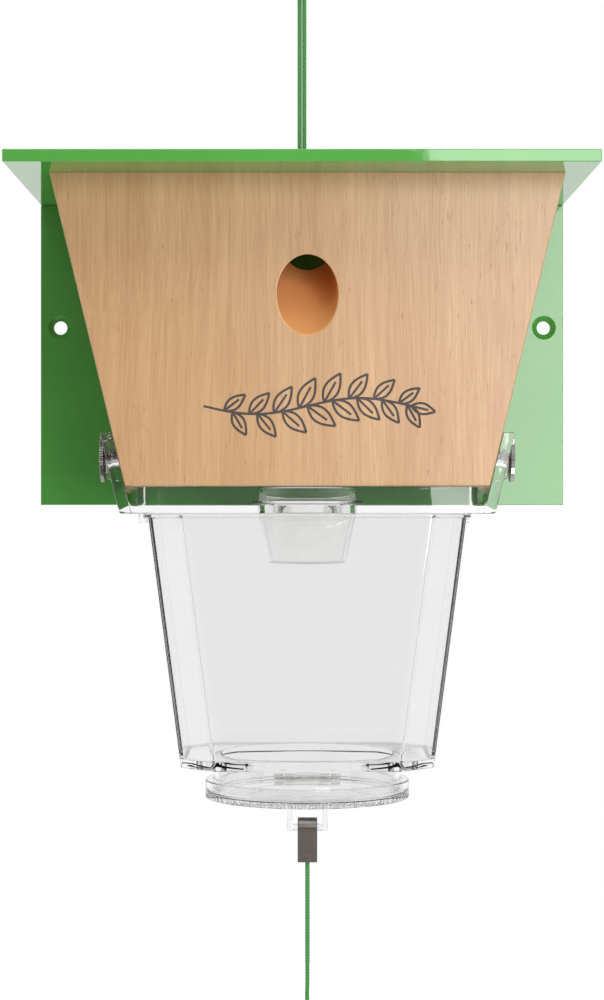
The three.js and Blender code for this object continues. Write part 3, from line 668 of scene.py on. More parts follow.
def smooth_route(points, step=0.9 * MM):
    """Points close together along a smooth curve through the given ones."""
    points = [Vector(p) for p in points]
    ends = [points[0] * 2 - points[1], *points, points[-1] * 2 - points[-2]]
    route = []
    for before, start, end, after in zip(ends, ends[1:], ends[2:], ends[3:]):
        knots = [0.0]
        for a, b in ((before, start), (start, end), (end, after)):
            knots.append(knots[-1] + max((b - a).length, 1e-9) ** 0.5)
        steps = max(2, round((end - start).length / step))
        for k in range(steps):
            t = knots[1] + (knots[2] - knots[1]) * k / steps

            def mix(a, b, low, high):
                return a * ((high - t) / (high - low)) + b * ((t - low) / (high - low))
            first = mix(before, start, knots[0], knots[1])
            second = mix(start, end, knots[1], knots[2])
            third = mix(end, after, knots[2], knots[3])
            left, right = mix(first, second, knots[0], knots[2]), mix(second, third, knots[1], knots[3])
            route.append(mix(left, right, knots[1], knots[2]))
    return [*route, points[-1]]


def tube(route, radius, closed=False, sides=TUBE_SIDES):
    """A round tube along a route, with a UV map that goes round it and along it in metres."""
    count = len(route)
    verts, travelled = [], [0.0]
    side = None
    for i, point in enumerate(route):
        ahead = route[(i + 1) % count] if closed or i + 1 < count else point
        behind = route[i - 1] if closed or i > 0 else point
        forward = (ahead - behind).normalized()
        if side is None:
            side = forward.orthogonal().normalized()
        side = (side - forward * side.dot(forward)).normalized()
        up = forward.cross(side)
        for k in range(sides):
            angle = 2 * math.pi * k / sides
            verts.append(point + (side * math.cos(angle) + up * math.sin(angle)) * radius)
        if i + 1 < count:
            travelled.append(travelled[-1] + (route[i + 1] - point).length)
    rings = count if closed else count - 1
    faces, uvs = [], []
    for i in range(rings):
        j = (i + 1) % count
        far = travelled[i + 1] if i + 1 < count else travelled[i] + (route[0] - route[-1]).length
        for k in range(sides):
            m = (k + 1) % sides
            faces.append((i * sides + k, i * sides + m, j * sides + m, j * sides + k))
            u0, u1 = k / sides, (k + 1) / sides
            uvs += [(u0, travelled[i]), (u1, travelled[i]), (u1, far), (u0, far)]
    if not closed:
        faces += [tuple(reversed(range(sides))), tuple(range((count - 1) * sides, count * sides))]
        uvs += [(k / sides, 0.0) for k in range(sides)] + [(k / sides, travelled[-1]) for k in range(sides)]
    mesh = bpy.data.meshes.new("tube")
    mesh.from_pydata(verts, [], faces)
    layer = mesh.uv_layers.new(name="round_and_along")
    for loop, uv in zip(layer.data, uvs):
        loop.uv = uv
    mesh.validate()
    piece = bpy.data.objects.new("tube", mesh)
    scene.collection.objects.link(piece)
    return smooth(piece, 60)


def knot(node_name, name, body, turns=3):
    """A tight knot of the cord in the place of its plain outer shape."""
    low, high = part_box(node_name)
    centre, size = (low + high) / 2, high - low
    reach = (size.x - CORD) / 2 / 3
    rise = (size.z - CORD) / 2
    count = 90
    route = []
    for k in range(count):
        t = 2 * math.pi * k / count
        route.append(centre + Vector((
            reach * (math.sin(t) + 2 * math.sin(2 * t)),
            reach * (math.cos(t) - 2 * math.cos(2 * t)),
            -rise * math.sin(turns * t))))
    piece = tube(route, CORD / 2, closed=True)
    return hand_over(piece, name, body, green_cord, [node_name])


# hanging cord: up from the stopper knot, round a loop, and back down
loop_knot_piece = knot("loop_knot", "hanging_loop_knot", "housing")
roof_knot_piece = knot("roof_knot", "stopper_knot", "housing")
hanging_half = [(STRAND, 0.0439), (STRAND, 0.060), (STRAND, 0.080), (STRAND, 0.100), (STRAND, 0.113),
                (STRAND, 0.118), (0.0026, 0.1225), (0.0054, 0.1275), (0.0070, 0.1330), (0.0056, 0.1385)]
hanging_points = [(SHEET_X - x, AXIS_Y, z) for x, z in hanging_half]
hanging_points += [(SHEET_X, AXIS_Y, 0.1416)]
hanging_points += [(SHEET_X + x, AXIS_Y, z) for x, z in reversed(hanging_half)]
hanging_route = smooth_route(hanging_points)
hanging = hand_over(tube(hanging_route, CORD / 2), "hanging_loop_cord", "housing", green_cord,
                    ["hanging_cord"])

# pull cord: down from the clip, then wound into a hank, with a knot on its end
HANK_OUTER = (hank_high.x - hank_low.x - CORD) / 2
HANK_INNER = HANK_OUTER - 1.6 * MM                  # the inner turns lie inside the outer ones
HANK_PITCH = (hank_high.y - hank_low.y - CORD) / 4
HANK_TOP = hank_high.z - CORD / 2 - HANK_OUTER      # centre of the upper folds
HANK_FOOT = hank_low.z + CORD / 2 + HANK_OUTER      # centre of the lower folds
HANK_Y = (hank_low.y + hank_high.y) / 2
# each turn's reach from the middle, and which of the five layers it lies in, front to back
hank_turns = [(HANK_OUTER, 0), (HANK_OUTER, 1), (HANK_OUTER, 2), (HANK_INNER, 2), (HANK_INNER, 1),
              (HANK_INNER, 0), (HANK_INNER, -1), (HANK_INNER, -2), (HANK_OUTER, -2), (HANK_OUTER, -1)]
ARC_POINTS = 8
pull_points = [(0, HANK_Y, z) for z in (-0.1822, -0.190, -0.198, -0.206, -0.214, -0.222, -0.2295)]
pull_points += [(0.0004, HANK_Y, -0.2316), (0.0022, HANK_Y, -0.2343), (0.0046, HANK_Y, -0.2372),
                (0.0060, HANK_Y, -0.2402)]
for index, (radius, plane) in enumerate(hank_turns):
    before_radius, before_plane = hank_turns[index - 1] if index else (radius, plane)
    if index:
        for k in range(2, ARC_POINTS + 1):          # over the top, from the last turn's place to this one's
            angle = math.pi * (1 - k / ARC_POINTS)
            share = min(1.0, 2 * k / ARC_POINTS)
            share = share * share * (3 - 2 * share)
            reach = before_radius + (radius - before_radius) * share
            depth = (before_plane + (plane - before_plane) * share) * HANK_PITCH
            pull_points.append((reach * math.cos(angle), HANK_Y + depth, HANK_TOP + reach * math.sin(angle)))
    depth = HANK_Y + plane * HANK_PITCH
    drop = HANK_TOP - HANK_FOOT
    pull_points += [(radius, depth, HANK_TOP - drop * share) for share in (0.25, 0.5, 0.75)]
    if index < len(hank_turns) - 1:
        for k in range(ARC_POINTS + 1):
            angle = -math.pi * k / ARC_POINTS
            pull_points.append((radius * math.cos(angle), depth, HANK_FOOT + radius * math.sin(angle)))
        pull_points += [(-radius, depth, HANK_FOOT + drop * share) for share in (0.25, 0.5, 0.75)]
        pull_points.append((-radius, depth, HANK_TOP))
end_knot_low, end_knot_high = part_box("end_knot")
end_knot_middle = (end_knot_low + end_knot_high) / 2
pull_points += [(HANK_OUTER + 0.0008, HANK_Y - 0.8 * HANK_PITCH, end_knot_middle.z + 0.0045), end_knot_middle]
pull_route = smooth_route(pull_points)
pull = hand_over(tube(pull_route, CORD / 2, sides=8), "pull_cord_and_hank", "pull_cord",
                 green_cord, ["pull_cord", "pull_cord_hank"])
end_knot_piece = knot("end_knot", "pull_cord_end_knot", "pull_cord")


def wound_tie():
    """Three turns of thin cord round the hank's middle."""
    strand = (tie_high.x - tie_low.x - (hank_high.x - hank_low.x)) / 4 - 0.05 * MM
    half_x = (tie_high.x - tie_low.x) / 2 - strand
    half_y = (tie_high.y - tie_low.y) / 2 - strand
    corner = half_y * 0.9
    ring = rounded([(-half_x, -half_y), (half_x, -half_y), (half_x, half_y), (-half_x, half_y)], corner, 6)
    turns = 3
    rise = (tie_high.z - tie_low.z - 2 * strand) / turns
    route = []
    for k in range(turns * len(ring) + 1):
        x, y = ring[k % len(ring)]
        route.append(Vector((x, HANK_Y + y, tie_low.z + strand + rise * k / len(ring))))
    return tube(smooth_route(route), strand, sides=8)


hank_tie_piece = hand_over(wound_tie(), "wound_hank_tie", "pull_cord", green_cord, ["hank_tie"])

# ---------------------------------------------------------------- wood screws
SCREW_HEAD = 3.5 * MM
SCREW_SHANK = 1.6 * MM
SCREW_RIM = 0.4 * MM
SCREW_LENGTH = 22 * MM
ROOM = 0.3 * MM                    # clearance round a screw


def wood_screw():
    """A countersunk screw about Z, its head's top at height 0, threaded over its lower two thirds."""
    thread_start, pitch, depth = -7.5 * MM, 1.3 * MM, 0.42 * MM
    profile = [(0, 0), (SCREW_HEAD - 0.15 * MM, 0), (SCREW_HEAD, -0.15 * MM), (SCREW_HEAD, -SCREW_RIM),
               (SCREW_SHANK, -SCREW_RIM - SCREW_HEAD + SCREW_SHANK), (SCREW_SHANK, thread_start)]
    height = thread_start
    while height - pitch > -SCREW_LENGTH + 3 * MM:
        profile += [(SCREW_SHANK - depth, height - 0.1 * MM), (SCREW_SHANK - depth, height - pitch * 0.55),
                    (SCREW_SHANK, height - pitch * 0.8)]
        height -= pitch
    profile += [(SCREW_SHANK - depth, height - 0.3 * MM), (0, -SCREW_LENGTH)]
    screw = turned(profile, (0, 0, 0), sides=24)
    half_long, half_wide, deep = 1.9 * MM, 0.38 * MM, 1.4 * MM
    for x, y in ((half_long, half_wide), (half_wide, half_long)):
        recess = block((-x, -y, -deep), (x, y, MM))
        for vertex in recess.data.vertices:
            if vertex.co.z < 0:
                vertex.co.x *= 0.7 if x > y else 1.0
                vertex.co.y *= 0.7 if y > x else 1.0
        cut(screw, recess)
    return smooth(screw, 30)


def screw_room(place, towards):
    """What a wood screw needs cut away, its head towards a direction."""
    head, shank, rim = SCREW_HEAD + ROOM, SCREW_SHANK + ROOM, SCREW_RIM + ROOM
    return turned([(0, -SCREW_LENGTH - ROOM), (shank, -SCREW_LENGTH - ROOM), (shank, -rim - head + shank),
                   (head, -rim), (head, MM), (0, MM)], place, towards, sides=32)


screw_model = wood_screw()
screw_places = {}
for number in range(1, 5):
    low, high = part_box(f"roof_screw_{number}")
    screw_places[f"roof_screw_{number}"] = (Vector(((low.x + high.x) / 2, (low.y + high.y) / 2, high.z)), Z)
    low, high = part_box(f"back_screw_{number}")
    screw_places[f"back_screw_{number}"] = (Vector(((low.x + high.x) / 2, high.y, (low.z + high.z) / 2)), Y)
for name, (place, towards) in screw_places.items():
    screw = copy_of(screw_model)
    screw.location = place
    screw.rotation_euler = towards.to_track_quat("Z", "Y").to_euler()
    hand_over(settle(screw), f"{name}_crosshead", "housing", screw_steel, [name])
bpy.data.objects.remove(screw_model)


def drilled(piece):
    """Cuts the holes of the wood screws that pass through a piece."""
    low = Vector(map(min, *[v.co for v in piece.data.vertices]))
    high = Vector(map(max, *[v.co for v in piece.data.vertices]))
    for place, towards in screw_places.values():
        tip = place - towards * SCREW_LENGTH
        if all(min(place[i], tip[i]) < high[i] and max(place[i], tip[i]) > low[i] for i in range(3)):
            cut(piece, screw_room(place, towards))
    return piece


# ---------------------------------------------------------------- roof and back plate
SHEET_EDGE = 0.3 * MM
HAIRLINE = 0.06 * MM               # what is left between the roof and what stands under it


def make_roof():
    roof = round_edges(block(roof_low, roof_high), SHEET_EDGE, 3)
    hole, chamfer = 2.2 * MM, 0.3 * MM
    flare = hole + MM + chamfer
    cut(roof, turned([(0, roof_low.z - MM), (flare, roof_low.z - MM), (hole, roof_low.z + chamfer),
                      (hole, roof_high.z - chamfer), (flare, roof_high.z + MM), (0, roof_high.z + MM)],
                     (SHEET_X, AXIS_Y, 0)))
    hand_over(smooth(drilled(roof)), "roof_sheet", "housing", green_sheet, ["roof_panel"])


def make_back_plate():
    plate = round_edges(block(plate_low, (plate_high.x, plate_high.y, roof_low.z - HAIRLINE)), 0.2 * MM, 3)
    hole, sink = 2.45 * MM, 4.35 * MM
    thick = plate_high.y - plate_low.y
    for x in (plate_low.x + 7 * MM, plate_high.x - 7 * MM):
        place = Vector((x, plate_high.y, 0))
        cut(plate, turned([(0, -MM), (hole, -MM), (hole, thick - sink + hole), (sink, thick),
                           (sink + 0.25 * MM, thick + 0.06 * MM), (sink + 0.25 * MM, thick + MM),
                           (0, thick + MM)], place, -Y, sides=64))
    hand_over(smooth(drilled(plate)), "wall_plate", "housing", green_sheet, ["back_plate"])


make_roof()
make_back_plate()

# ---------------------------------------------------------------- wooden box
WOOD_EDGE = 0.5 * MM
SIDE_THICK = 15 * MM
INSERT_HOLE = 3.8 * MM             # radius of the hole that takes a brass insert


def make_box_front():
    top = roof_low.z - HAIRLINE
    outline = [(-box_foot_half, front_low.z), (box_foot_half, front_low.z),
               (box_half(top), top), (-box_half(top), top)]
    front = crosswise(outline, front_low.y, front_high.y)
    round_edges(front, WOOD_EDGE, 3, lambda a, b: min(a.z, b.z) < top - MM)
    climb = Vector((0, math.cos(BORE_CLIMB), math.sin(BORE_CLIMB)))
    mouth = Vector((0, front_low.y, MOUTH_Z))
    cut(front, rod(mouth - climb * 40 * MM, mouth + climb * 70 * MM, BORE, sides=96))

    def on_mouth(a, b):
        return all(abs(p.y - front_low.y) < 1e-5 and (p - mouth).length < 1.6 * BORE for p in (a, b))
    round_edges(front, 0.45 * MM, 3, on_mouth)
    hand_over(smooth(drilled(front), 25), "box_front_board", "housing", front_wood, ["box_front"])


def make_box_sides():
    foot = foot_half("box_side_right")
    outline = [(foot - SIDE_THICK, side_low.z), (foot, side_low.z),
               (side_high.x, side_high.z), (side_high.x - SIDE_THICK, side_high.z)]
    right = round_edges(crosswise(outline, side_low.y, side_high.y), WOOD_EDGE, 3)
    cut(right, rod((insert_low.x - ROOM, AXIS_Y, THUMB.z), (side_high.x, AXIS_Y, THUMB.z), INSERT_HOLE,
                   sides=48))
    left = mirrored(right)
    for piece, side, name in ((right, 1, "right"), (left, -1, "left")):
        hand_over(smooth(drilled(piece), 25), f"{name}_side_board", "housing", side_woods[side],
                  [f"box_side_{name}"])


make_box_front()
make_box_sides()


def make_ornament():
    """A wavy leafy twig printed across the box's front, below the entrance."""
    stroke, half_long = 0.42 * MM, 34 * MM
    middle = Vector((0, 0, -32 * MM))
    lines = []

    def stem_at(share):
        """A place on the stem, share from -1 at its left end to 1 at its right end."""
        return middle + Vector((share * half_long, 0, 2.6 * MM * math.sin(share * math.pi)))

    def leaf(root, angle, length):
        """A pointed leaf's two edges and its middle vein."""
        along = Vector((math.cos(angle), 0, math.sin(angle))) * length
        across = Vector((-along.z, 0, along.x)) * 0.22
        for side in (-1, 1):
            lines.append([root + along * (k / 12) + across * (side * math.sin(math.pi * (k / 12) ** 0.85))
                          for k in range(13)])
        lines.append([root, root + along * 0.35, root + along * 0.7])

    lines.append([stem_at(k / 24 - 1) for k in range(49)])
    for k in range(8):
        share = -0.8 + 0.24 * k
        size = (11.5 - 3.5 * abs(share)) * MM
        slope = math.atan2(stem_at(share + 0.01).z - stem_at(share - 0.01).z, 0.02 * half_long)
        leaf(stem_at(share), slope + 0.85, size)
        leaf(stem_at(share + 0.08), slope - 0.85, size)
    leaf(stem_at(1), math.atan2(stem_at(1).z - stem_at(0.98).z, 0.02 * half_long), 8 * MM)
    strokes = [tube([Vector(p) for p in line], stroke, sides=6) for line in lines]
    work_on(strokes[0])
    for piece in strokes:
        piece.select_set(True)
    bpy.ops.object.join()
    ornament = bpy.context.object
    ornament.scale.y = 0.08
    ornament.location.y = front_low.y
    settle(ornament)
    hand_over(ornament, "printed_twig", "housing", ornament_ink)


make_ornament()

# ---------------------------------------------------------------- tray
ARM_ROOM = 0.5 * MM
ARM_THICK = 4 * MM
RIM_HEIGHT = 6.1 * MM
TRAY_THICK = 2.7 * MM
RIM_TOP = front_low.z - ROOM
TRAY_FLOOR = RIM_TOP - RIM_HEIGHT
TRAY_UNDER = TRAY_FLOOR - TRAY_THICK
ARM_TOP = tray_high.z


def arm_inner(z):
    return box_half(z) + ARM_ROOM


def arm_outer(z):
    return arm_inner(z) + ARM_THICK


def frame_outline(half, low, high, corner, steps=5):
    return rounded([(-half, low), (half, low), (half, high), (-half, high)], corner, steps)


def make_tray():
    section = rounded([
        (-arm_outer(TRAY_UNDER), TRAY_UNDER), (arm_outer(TRAY_UNDER), TRAY_UNDER),
        (arm_outer(ARM_TOP), ARM_TOP), (arm_inner(ARM_TOP), ARM_TOP),
        (arm_inner(TRAY_FLOOR), TRAY_FLOOR), (-arm_inner(TRAY_FLOOR), TRAY_FLOOR),
        (-arm_inner(ARM_TOP), ARM_TOP), (-arm_outer(ARM_TOP), ARM_TOP),
    ], [MM, MM, 0.6 * MM, 0.6 * MM, 1.6 * MM, 1.6 * MM, 0.6 * MM, 0.6 * MM], 4)
    front, back = tray_low.y, tray_high.y
    tray = crosswise(section, front, back)
    round_edges(tray, 0.35 * MM, 2, lambda a, b: abs(a.y - b.y) < 1e-6)

    rim_half = arm_inner(TRAY_FLOOR) - 2.2 * MM
    wall = 2.4 * MM
    rim = upright(frame_outline(rim_half, front, back, 3 * MM), TRAY_FLOOR - MM, RIM_TOP)
    cut(rim, upright(frame_outline(rim_half - wall, front + wall, back - wall, MM), TRAY_FLOOR - 2 * MM,
                     RIM_TOP + MM))
    round_edges(rim, 0.3 * MM, 2, lambda a, b: min(a.z, b.z) > RIM_TOP - 1e-6)

    pad_face = washer_low.x - ROOM
    pad_foot = THUMB.z - 8.5 * MM
    pad = crosswise([(arm_outer(pad_foot) - MM, pad_foot), (pad_face, pad_foot + MM),
                     (pad_face, ARM_TOP), (arm_outer(ARM_TOP) - MM, ARM_TOP)],
                    AXIS_Y - 9.5 * MM, AXIS_Y + 9.5 * MM)
    round_edges(pad, 0.4 * MM, 2)
    slot = 3.25 * MM
    slot_cut = joined(rod((arm_inner(TRAY_FLOOR), AXIS_Y, THUMB.z), (pad_face + MM, AXIS_Y, THUMB.z), slot),
                      block((arm_inner(TRAY_FLOOR), AXIS_Y - slot, THUMB.z),
                            (pad_face + MM, AXIS_Y + slot, ARM_TOP + MM)))

    hook_inner = jar_high.x + ROOM
    hook_outer = hook_inner + 1.5 * MM
    hooks = []
    for y in (AXIS_Y - 18 * MM, AXIS_Y + 18 * MM):
        section = [(hook_inner, TRAY_UNDER + MM), (hook_inner, tray_low.z + 1.5 * MM),
                   (hook_inner - 0.9 * MM, tray_low.z + 1.5 * MM), (hook_inner - 0.9 * MM, tray_low.z),
                   (hook_outer, tray_low.z), (hook_outer, TRAY_UNDER + MM)]
        hooks.append(crosswise(rounded(section, [0, 0, 0.2 * MM, 0.2 * MM, 0.5 * MM, 0], 3),
                               y - 6 * MM, y + 6 * MM))

    half = joined(pad, *hooks)
    other_half, other_slot = mirrored(half), mirrored(slot_cut)
    joined(tray, rim, half, other_half)
    funnel_room = rod((0, AXIS_Y, TRAY_UNDER - MM), (0, AXIS_Y, TRAY_FLOOR + MM), 17.2 * MM, sides=96)
    cut(tray, slot_cut, other_slot, funnel_room)
    hand_over(smooth(face_outwards(tray), 30), "clear_tray_moulding", "tray_and_jar",
              clear_tray, ["tray"])


make_tray()


# ---------------------------------------------------------------- funnel
def make_funnel():
    collar, tip, wall = 16.9 * MM, 13.25 * MM, 1.5 * MM
    flange, flange_foot = 2.4 * MM, TRAY_FLOOR + ROOM
    flange_top = flange_foot + 1.2 * MM
    section = rounded([
        (tip - wall, funnel_low.z), (tip, funnel_low.z), (collar, TRAY_UNDER), (collar, flange_foot),
        (collar + flange, flange_foot), (collar + flange, flange_top), (collar, flange_top),
        (collar, funnel_high.z), (collar - wall, funnel_high.z), (collar - wall, TRAY_UNDER),
    ], [0.5 * MM, 0.5 * MM, 0, 0, 0.3 * MM, 0.3 * MM, 0, 0.4 * MM, 0.4 * MM, 0], 4)
    funnel = turned(section, (0, AXIS_Y, 0), sides=128)
    hand_over(smooth(funnel, 30), "catch_funnel", "tray_and_jar", clear_funnel, ["funnel"])


make_funnel()

# ---------------------------------------------------------------- jar
JAR_TOP = jar_high.z
JAR_FOOT = JAR_TOP - 85.5 * MM
JAR_WALL = 2.2 * MM
JAR_FLOOR = 2.9 * MM
LIP_REACH = 1.2 * MM
NECK = 32.4 * MM
NECK_BORE = NECK - 2.2 * MM
jar_top_half = (jar_high.x - LIP_REACH, 35 * MM)
jar_foot_half = (jar_top_half[0] - 11.1 * MM, jar_top_half[1] - MM)


def jar_outline(half, grow):
    """The jar's eight-sided outline with rounded corners."""
    x, y = half[0] + grow, half[1] + grow
    chamfer = 11.6 * MM + grow * (2 - math.sqrt(2))
    corners = [(x - chamfer, -y), (x, chamfer - y), (x, y - chamfer), (x - chamfer, y),
               (chamfer - x, y), (-x, y - chamfer), (-x, chamfer - y), (chamfer - x, -y)]
    return rounded([(u, v + AXIS_Y) for u, v in corners], 3 * MM + grow, 6)


def jar_half_at(height):
    """Half the jar's width and depth at a height above its foot."""
    share = height / (JAR_TOP - JAR_FOOT)
    return [foot + (top - foot) * share for foot, top in zip(jar_foot_half, jar_top_half)]


def make_jar():
    body = tapered(jar_outline(jar_foot_half, 0), JAR_FOOT, jar_outline(jar_top_half, 0), JAR_TOP)
    round_edges(body, 0.5 * MM, 3, lambda a, b: max(a.z, b.z) < JAR_FOOT + 1e-6)
    lip = upright(jar_outline(jar_top_half, LIP_REACH), JAR_TOP - 1.2 * MM, JAR_TOP)
    round_edges(lip, 0.25 * MM, 2, lambda a, b: abs(a.z - b.z) < 1e-6)
    neck = turned(rounded([(0, jar_low.z), (NECK, jar_low.z), (NECK, JAR_FOOT + MM), (0, JAR_FOOT + MM)],
                          [0, 0.3 * MM, 0, 0], 3), (0, AXIS_Y, 0), sides=128)
    joined(body, lip, neck)
    past = 1 * MM
    hollow = tapered(jar_outline(jar_half_at(JAR_FLOOR), -JAR_WALL), JAR_FOOT + JAR_FLOOR,
                     jar_outline(jar_half_at(JAR_TOP + past - JAR_FOOT), -JAR_WALL), JAR_TOP + past)
    round_edges(hollow, 0.7 * MM, 3, lambda a, b: max(a.z, b.z) < JAR_FOOT + JAR_FLOOR + 1e-6)
    bore = rod((0, AXIS_Y, jar_low.z - past), (0, AXIS_Y, JAR_FOOT + JAR_FLOOR + past), NECK_BORE, sides=128)
    cut(body, hollow, bore)
    hand_over(smooth(face_outwards(body), 30), "catching_jar", "tray_and_jar", clear_jar,
              ["jar"])


make_jar()

# ---------------------------------------------------------------- door ring, door and hinge
RING_OUTER = 35.2 * MM
RING_FOOT = jar_low.z - ROOM - MM
RING_TOP = RING_FOOT + 4 * MM
DOOR_TOP = RING_FOOT - ROOM
DOOR_UNDER = DOOR_TOP - 2.1 * MM
BARREL = 1.75 * MM
MIDDLE_KNUCKLE = 4.2 * MM
lug_inner, lug_outer = pin_high.x - 3.8 * MM, pin_high.x
BAR = Vector((0, CLIP_EYE.y, clip_high.z - 3.3 * MM))
BAR_RADIUS = 1.2 * MM


def make_door_ring():
    inner, bore = NECK + ROOM, NECK_BORE
    section = rounded([(bore, RING_FOOT), (RING_OUTER, RING_FOOT), (RING_OUTER, RING_TOP), (inner, RING_TOP),
                       (inner, RING_FOOT + MM), (bore, RING_FOOT + MM)],
                      [0.2 * MM, 0.3 * MM, 0.4 * MM, 0.3 * MM, 0, 0.2 * MM], 3)
    ring = turned(section, (0, AXIS_Y, 0), sides=144)
    half_notch, deep = 16.5 * MM, 2.7 * MM
    cut(ring, block((-half_notch, AXIS_Y + inner / 2, RING_TOP - deep), (half_notch, HINGE.y, RING_TOP + MM)))
    lug_front = AXIS_Y + math.sqrt(inner ** 2 - lug_inner ** 2) + ROOM
    for side in (-1, 1):
        ends = (side * lug_inner, side * lug_outer)
        barrel = rod((ends[0], HINGE.y, HINGE.z), (ends[1], HINGE.y, HINGE.z), BARREL, sides=48)
        root = block((min(ends), lug_front, RING_FOOT), (max(ends), HINGE.y, HINGE.z + BARREL))
        joined(ring, joined(barrel, root))
    cut(ring, rod((-lug_outer - MM, HINGE.y, HINGE.z), (lug_outer + MM, HINGE.y, HINGE.z), MM, sides=32))
    hand_over(smooth(face_outwards(ring), 30), "neck_ring", "tray_and_jar", clear_ring,
              ["door_ring"])


def beaded_outline(radius, beads, depth):
    """A circle whose edge is a row of small rounded beads."""
    steps = 6
    outline = []
    for k in range(beads * steps):
        swell = abs(math.sin(math.pi * (k % steps) / steps))
        angle = 2 * math.pi * k / (beads * steps)
        reach = radius - depth * (1 - swell)
        outline.append((reach * math.cos(angle), AXIS_Y + reach * math.sin(angle)))
    return outline


def make_door():
    disc = upright(beaded_outline(RING_OUTER, 96, 0.45 * MM), DOOR_UNDER + 0.25 * MM, DOOR_TOP - 0.25 * MM)
    core_radius = RING_OUTER - 0.6 * MM
    half_section = [(0, DOOR_UNDER), (core_radius, DOOR_UNDER), (core_radius, DOOR_TOP), (0, DOOR_TOP)]
    core = turned(rounded(half_section, [0, 0.3 * MM, 0.3 * MM, 0], 3), (0, AXIS_Y, 0), sides=144)
    joined(disc, core)
    arm = block((-MIDDLE_KNUCKLE, AXIS_Y + RING_OUTER - 3 * MM, DOOR_UNDER + 0.1 * MM),
                (MIDDLE_KNUCKLE, HINGE.y, DOOR_TOP - 0.1 * MM))
    barrel = rod((-MIDDLE_KNUCKLE, HINGE.y, HINGE.z), (MIDDLE_KNUCKLE, HINGE.y, HINGE.z), BARREL, sides=48)
    leg_outer, leg_inner = 6.7 * MM, 4.85 * MM
    legs = []
    for side in (-1, 1):
        legs.append(round_edges(block(
            (min(side * leg_inner, side * leg_outer), BAR.y - BAR_RADIUS, BAR.z - BAR_RADIUS),
            (max(side * leg_inner, side * leg_outer), BAR.y + BAR_RADIUS, DOOR_UNDER + MM)), 0.3 * MM, 2))
    bar = rod(BAR - X * (leg_inner + MM), BAR + X * (leg_inner + MM), BAR_RADIUS, sides=48)
    joined(disc, joined(arm, barrel), *legs, bar)
    cut(disc, rod((-lug_outer, HINGE.y, HINGE.z), (lug_outer, HINGE.y, HINGE.z), MM, sides=32))
    hand_over(smooth(face_outwards(disc), 30), "emptying_door", "door", clear_door, ["door"])


make_door_ring()
make_door()


def make_hinge_pin():
    radius, dome = 0.7 * MM, 0.25 * MM
    length = pin_high.x - pin_low.x
    pin = turned(rounded([(0, 0), (radius, 0), (radius, length), (0, length)], [0, dome, dome, 0], 4),
                 (pin_low.x, HINGE.y, HINGE.z), X, sides=32)
    hand_over(smooth(pin, 50), "steel_hinge_pin", "tray_and_jar", spring_steel, ["hinge_pin"])


def make_springs():
    """A close-wound torsion spring on each side, round the hinge pin."""
    wire = 0.27 * MM
    coil = (spring_high.y - spring_low.y) / 2 - wire
    start, end = spring_low.x + wire, spring_high.x - wire
    turns, points = 6, 20
    for side, name in ((1, "right"), (-1, "left")):
        route = []
        for k in range(turns * points + 1):
            angle = 2 * math.pi * k / points
            x = start + (end - start) * k / (turns * points)
            route.append(Vector((side * x, HINGE.y + coil * math.sin(angle),
                                 HINGE.z + coil * math.cos(angle))))
        spring = tube(route, wire, sides=8)
        hand_over(spring, f"torsion_spring_{name}", "tray_and_jar", spring_steel,
                  [f"hinge_spring_{name}"])


make_hinge_pin()
make_springs()


# ---------------------------------------------------------------- thumb screws, washers, inserts
def hand_over_pair(right, degrees, name, body, material, stands_for):
    """Hands over a right piece and its mirror image; {} in a name becomes right or left."""
    left = smooth(mirrored(right), degrees)
    for piece, side in ((right, "right"), (left, "left")):
        hand_over(piece, name.format(side), body.format(side), material, [stands_for.format(side)])


def knurled_outline(radius, teeth, depth):
    """A circle with a fine saw edge."""
    outline = []
    for k in range(teeth * 2):
        angle = math.pi * k / teeth
        reach = radius - (depth if k % 2 else 0)
        outline.append((reach * math.cos(angle), reach * math.sin(angle)))
    return outline


def make_thumb_screws():
    radius = (head_high.z - head_low.z) / 2
    thick = 1.4 * MM
    inner_face = head_high.x - thick
    head = extruded(knurled_outline(radius, 60, 0.35 * MM),
                    lambda u, v: (inner_face, AXIS_Y + u, THUMB.z + v), (thick, 0, 0))
    round_edges(head, 0.18 * MM, 1, lambda a, b: abs(a.x - b.x) < 1e-6)
    hub, shank = 2.75 * MM, 2 * MM
    hub_end = inner_face - 3.2 * MM
    hub_top = head_high.x - 0.5 * MM
    profile = [(0, hub_top), (hub, hub_top), (hub, hub_end + 0.3 * MM), (hub - 0.3 * MM, hub_end),
               (shank, hub_end)]
    pitch, depth = 0.7 * MM, 0.3 * MM
    x = hub_end - 0.4 * MM
    while x - pitch > head_low.x + 0.5 * MM:
        profile += [(shank, x), (shank - depth, x - pitch / 2)]
        x -= pitch
    profile += [(shank, x), (shank - 0.6 * MM, head_low.x), (0, head_low.x)]
    stem = turned(profile, (0, AXIS_Y, THUMB.z), X, sides=32)
    dish = rod((head_high.x - 0.35 * MM, AXIS_Y, THUMB.z), (head_high.x + MM, AXIS_Y, THUMB.z),
               radius - 2.2 * MM, radius - 1.2 * MM, sides=64)
    hand_over_pair(smooth(cut(joined(head, stem), dish), 30), 30, "knurled_screw_{}", "thumb_screw_{}",
                   thumb_steel, "thumb_screw_{}")


def make_washers():
    outer, bore, thick = 5.5 * MM, 3.05 * MM, washer_high.x - washer_low.x
    section = rounded([(bore, 0), (outer, 0), (outer, thick), (bore, thick)], 0.2 * MM, 3)
    hand_over_pair(smooth(turned(section, (washer_low.x, AXIS_Y, THUMB.z), X, sides=64), 40), 40,
                   "steel_washer_{}", "thumb_screw_{}", thumb_steel, "washer_{}")


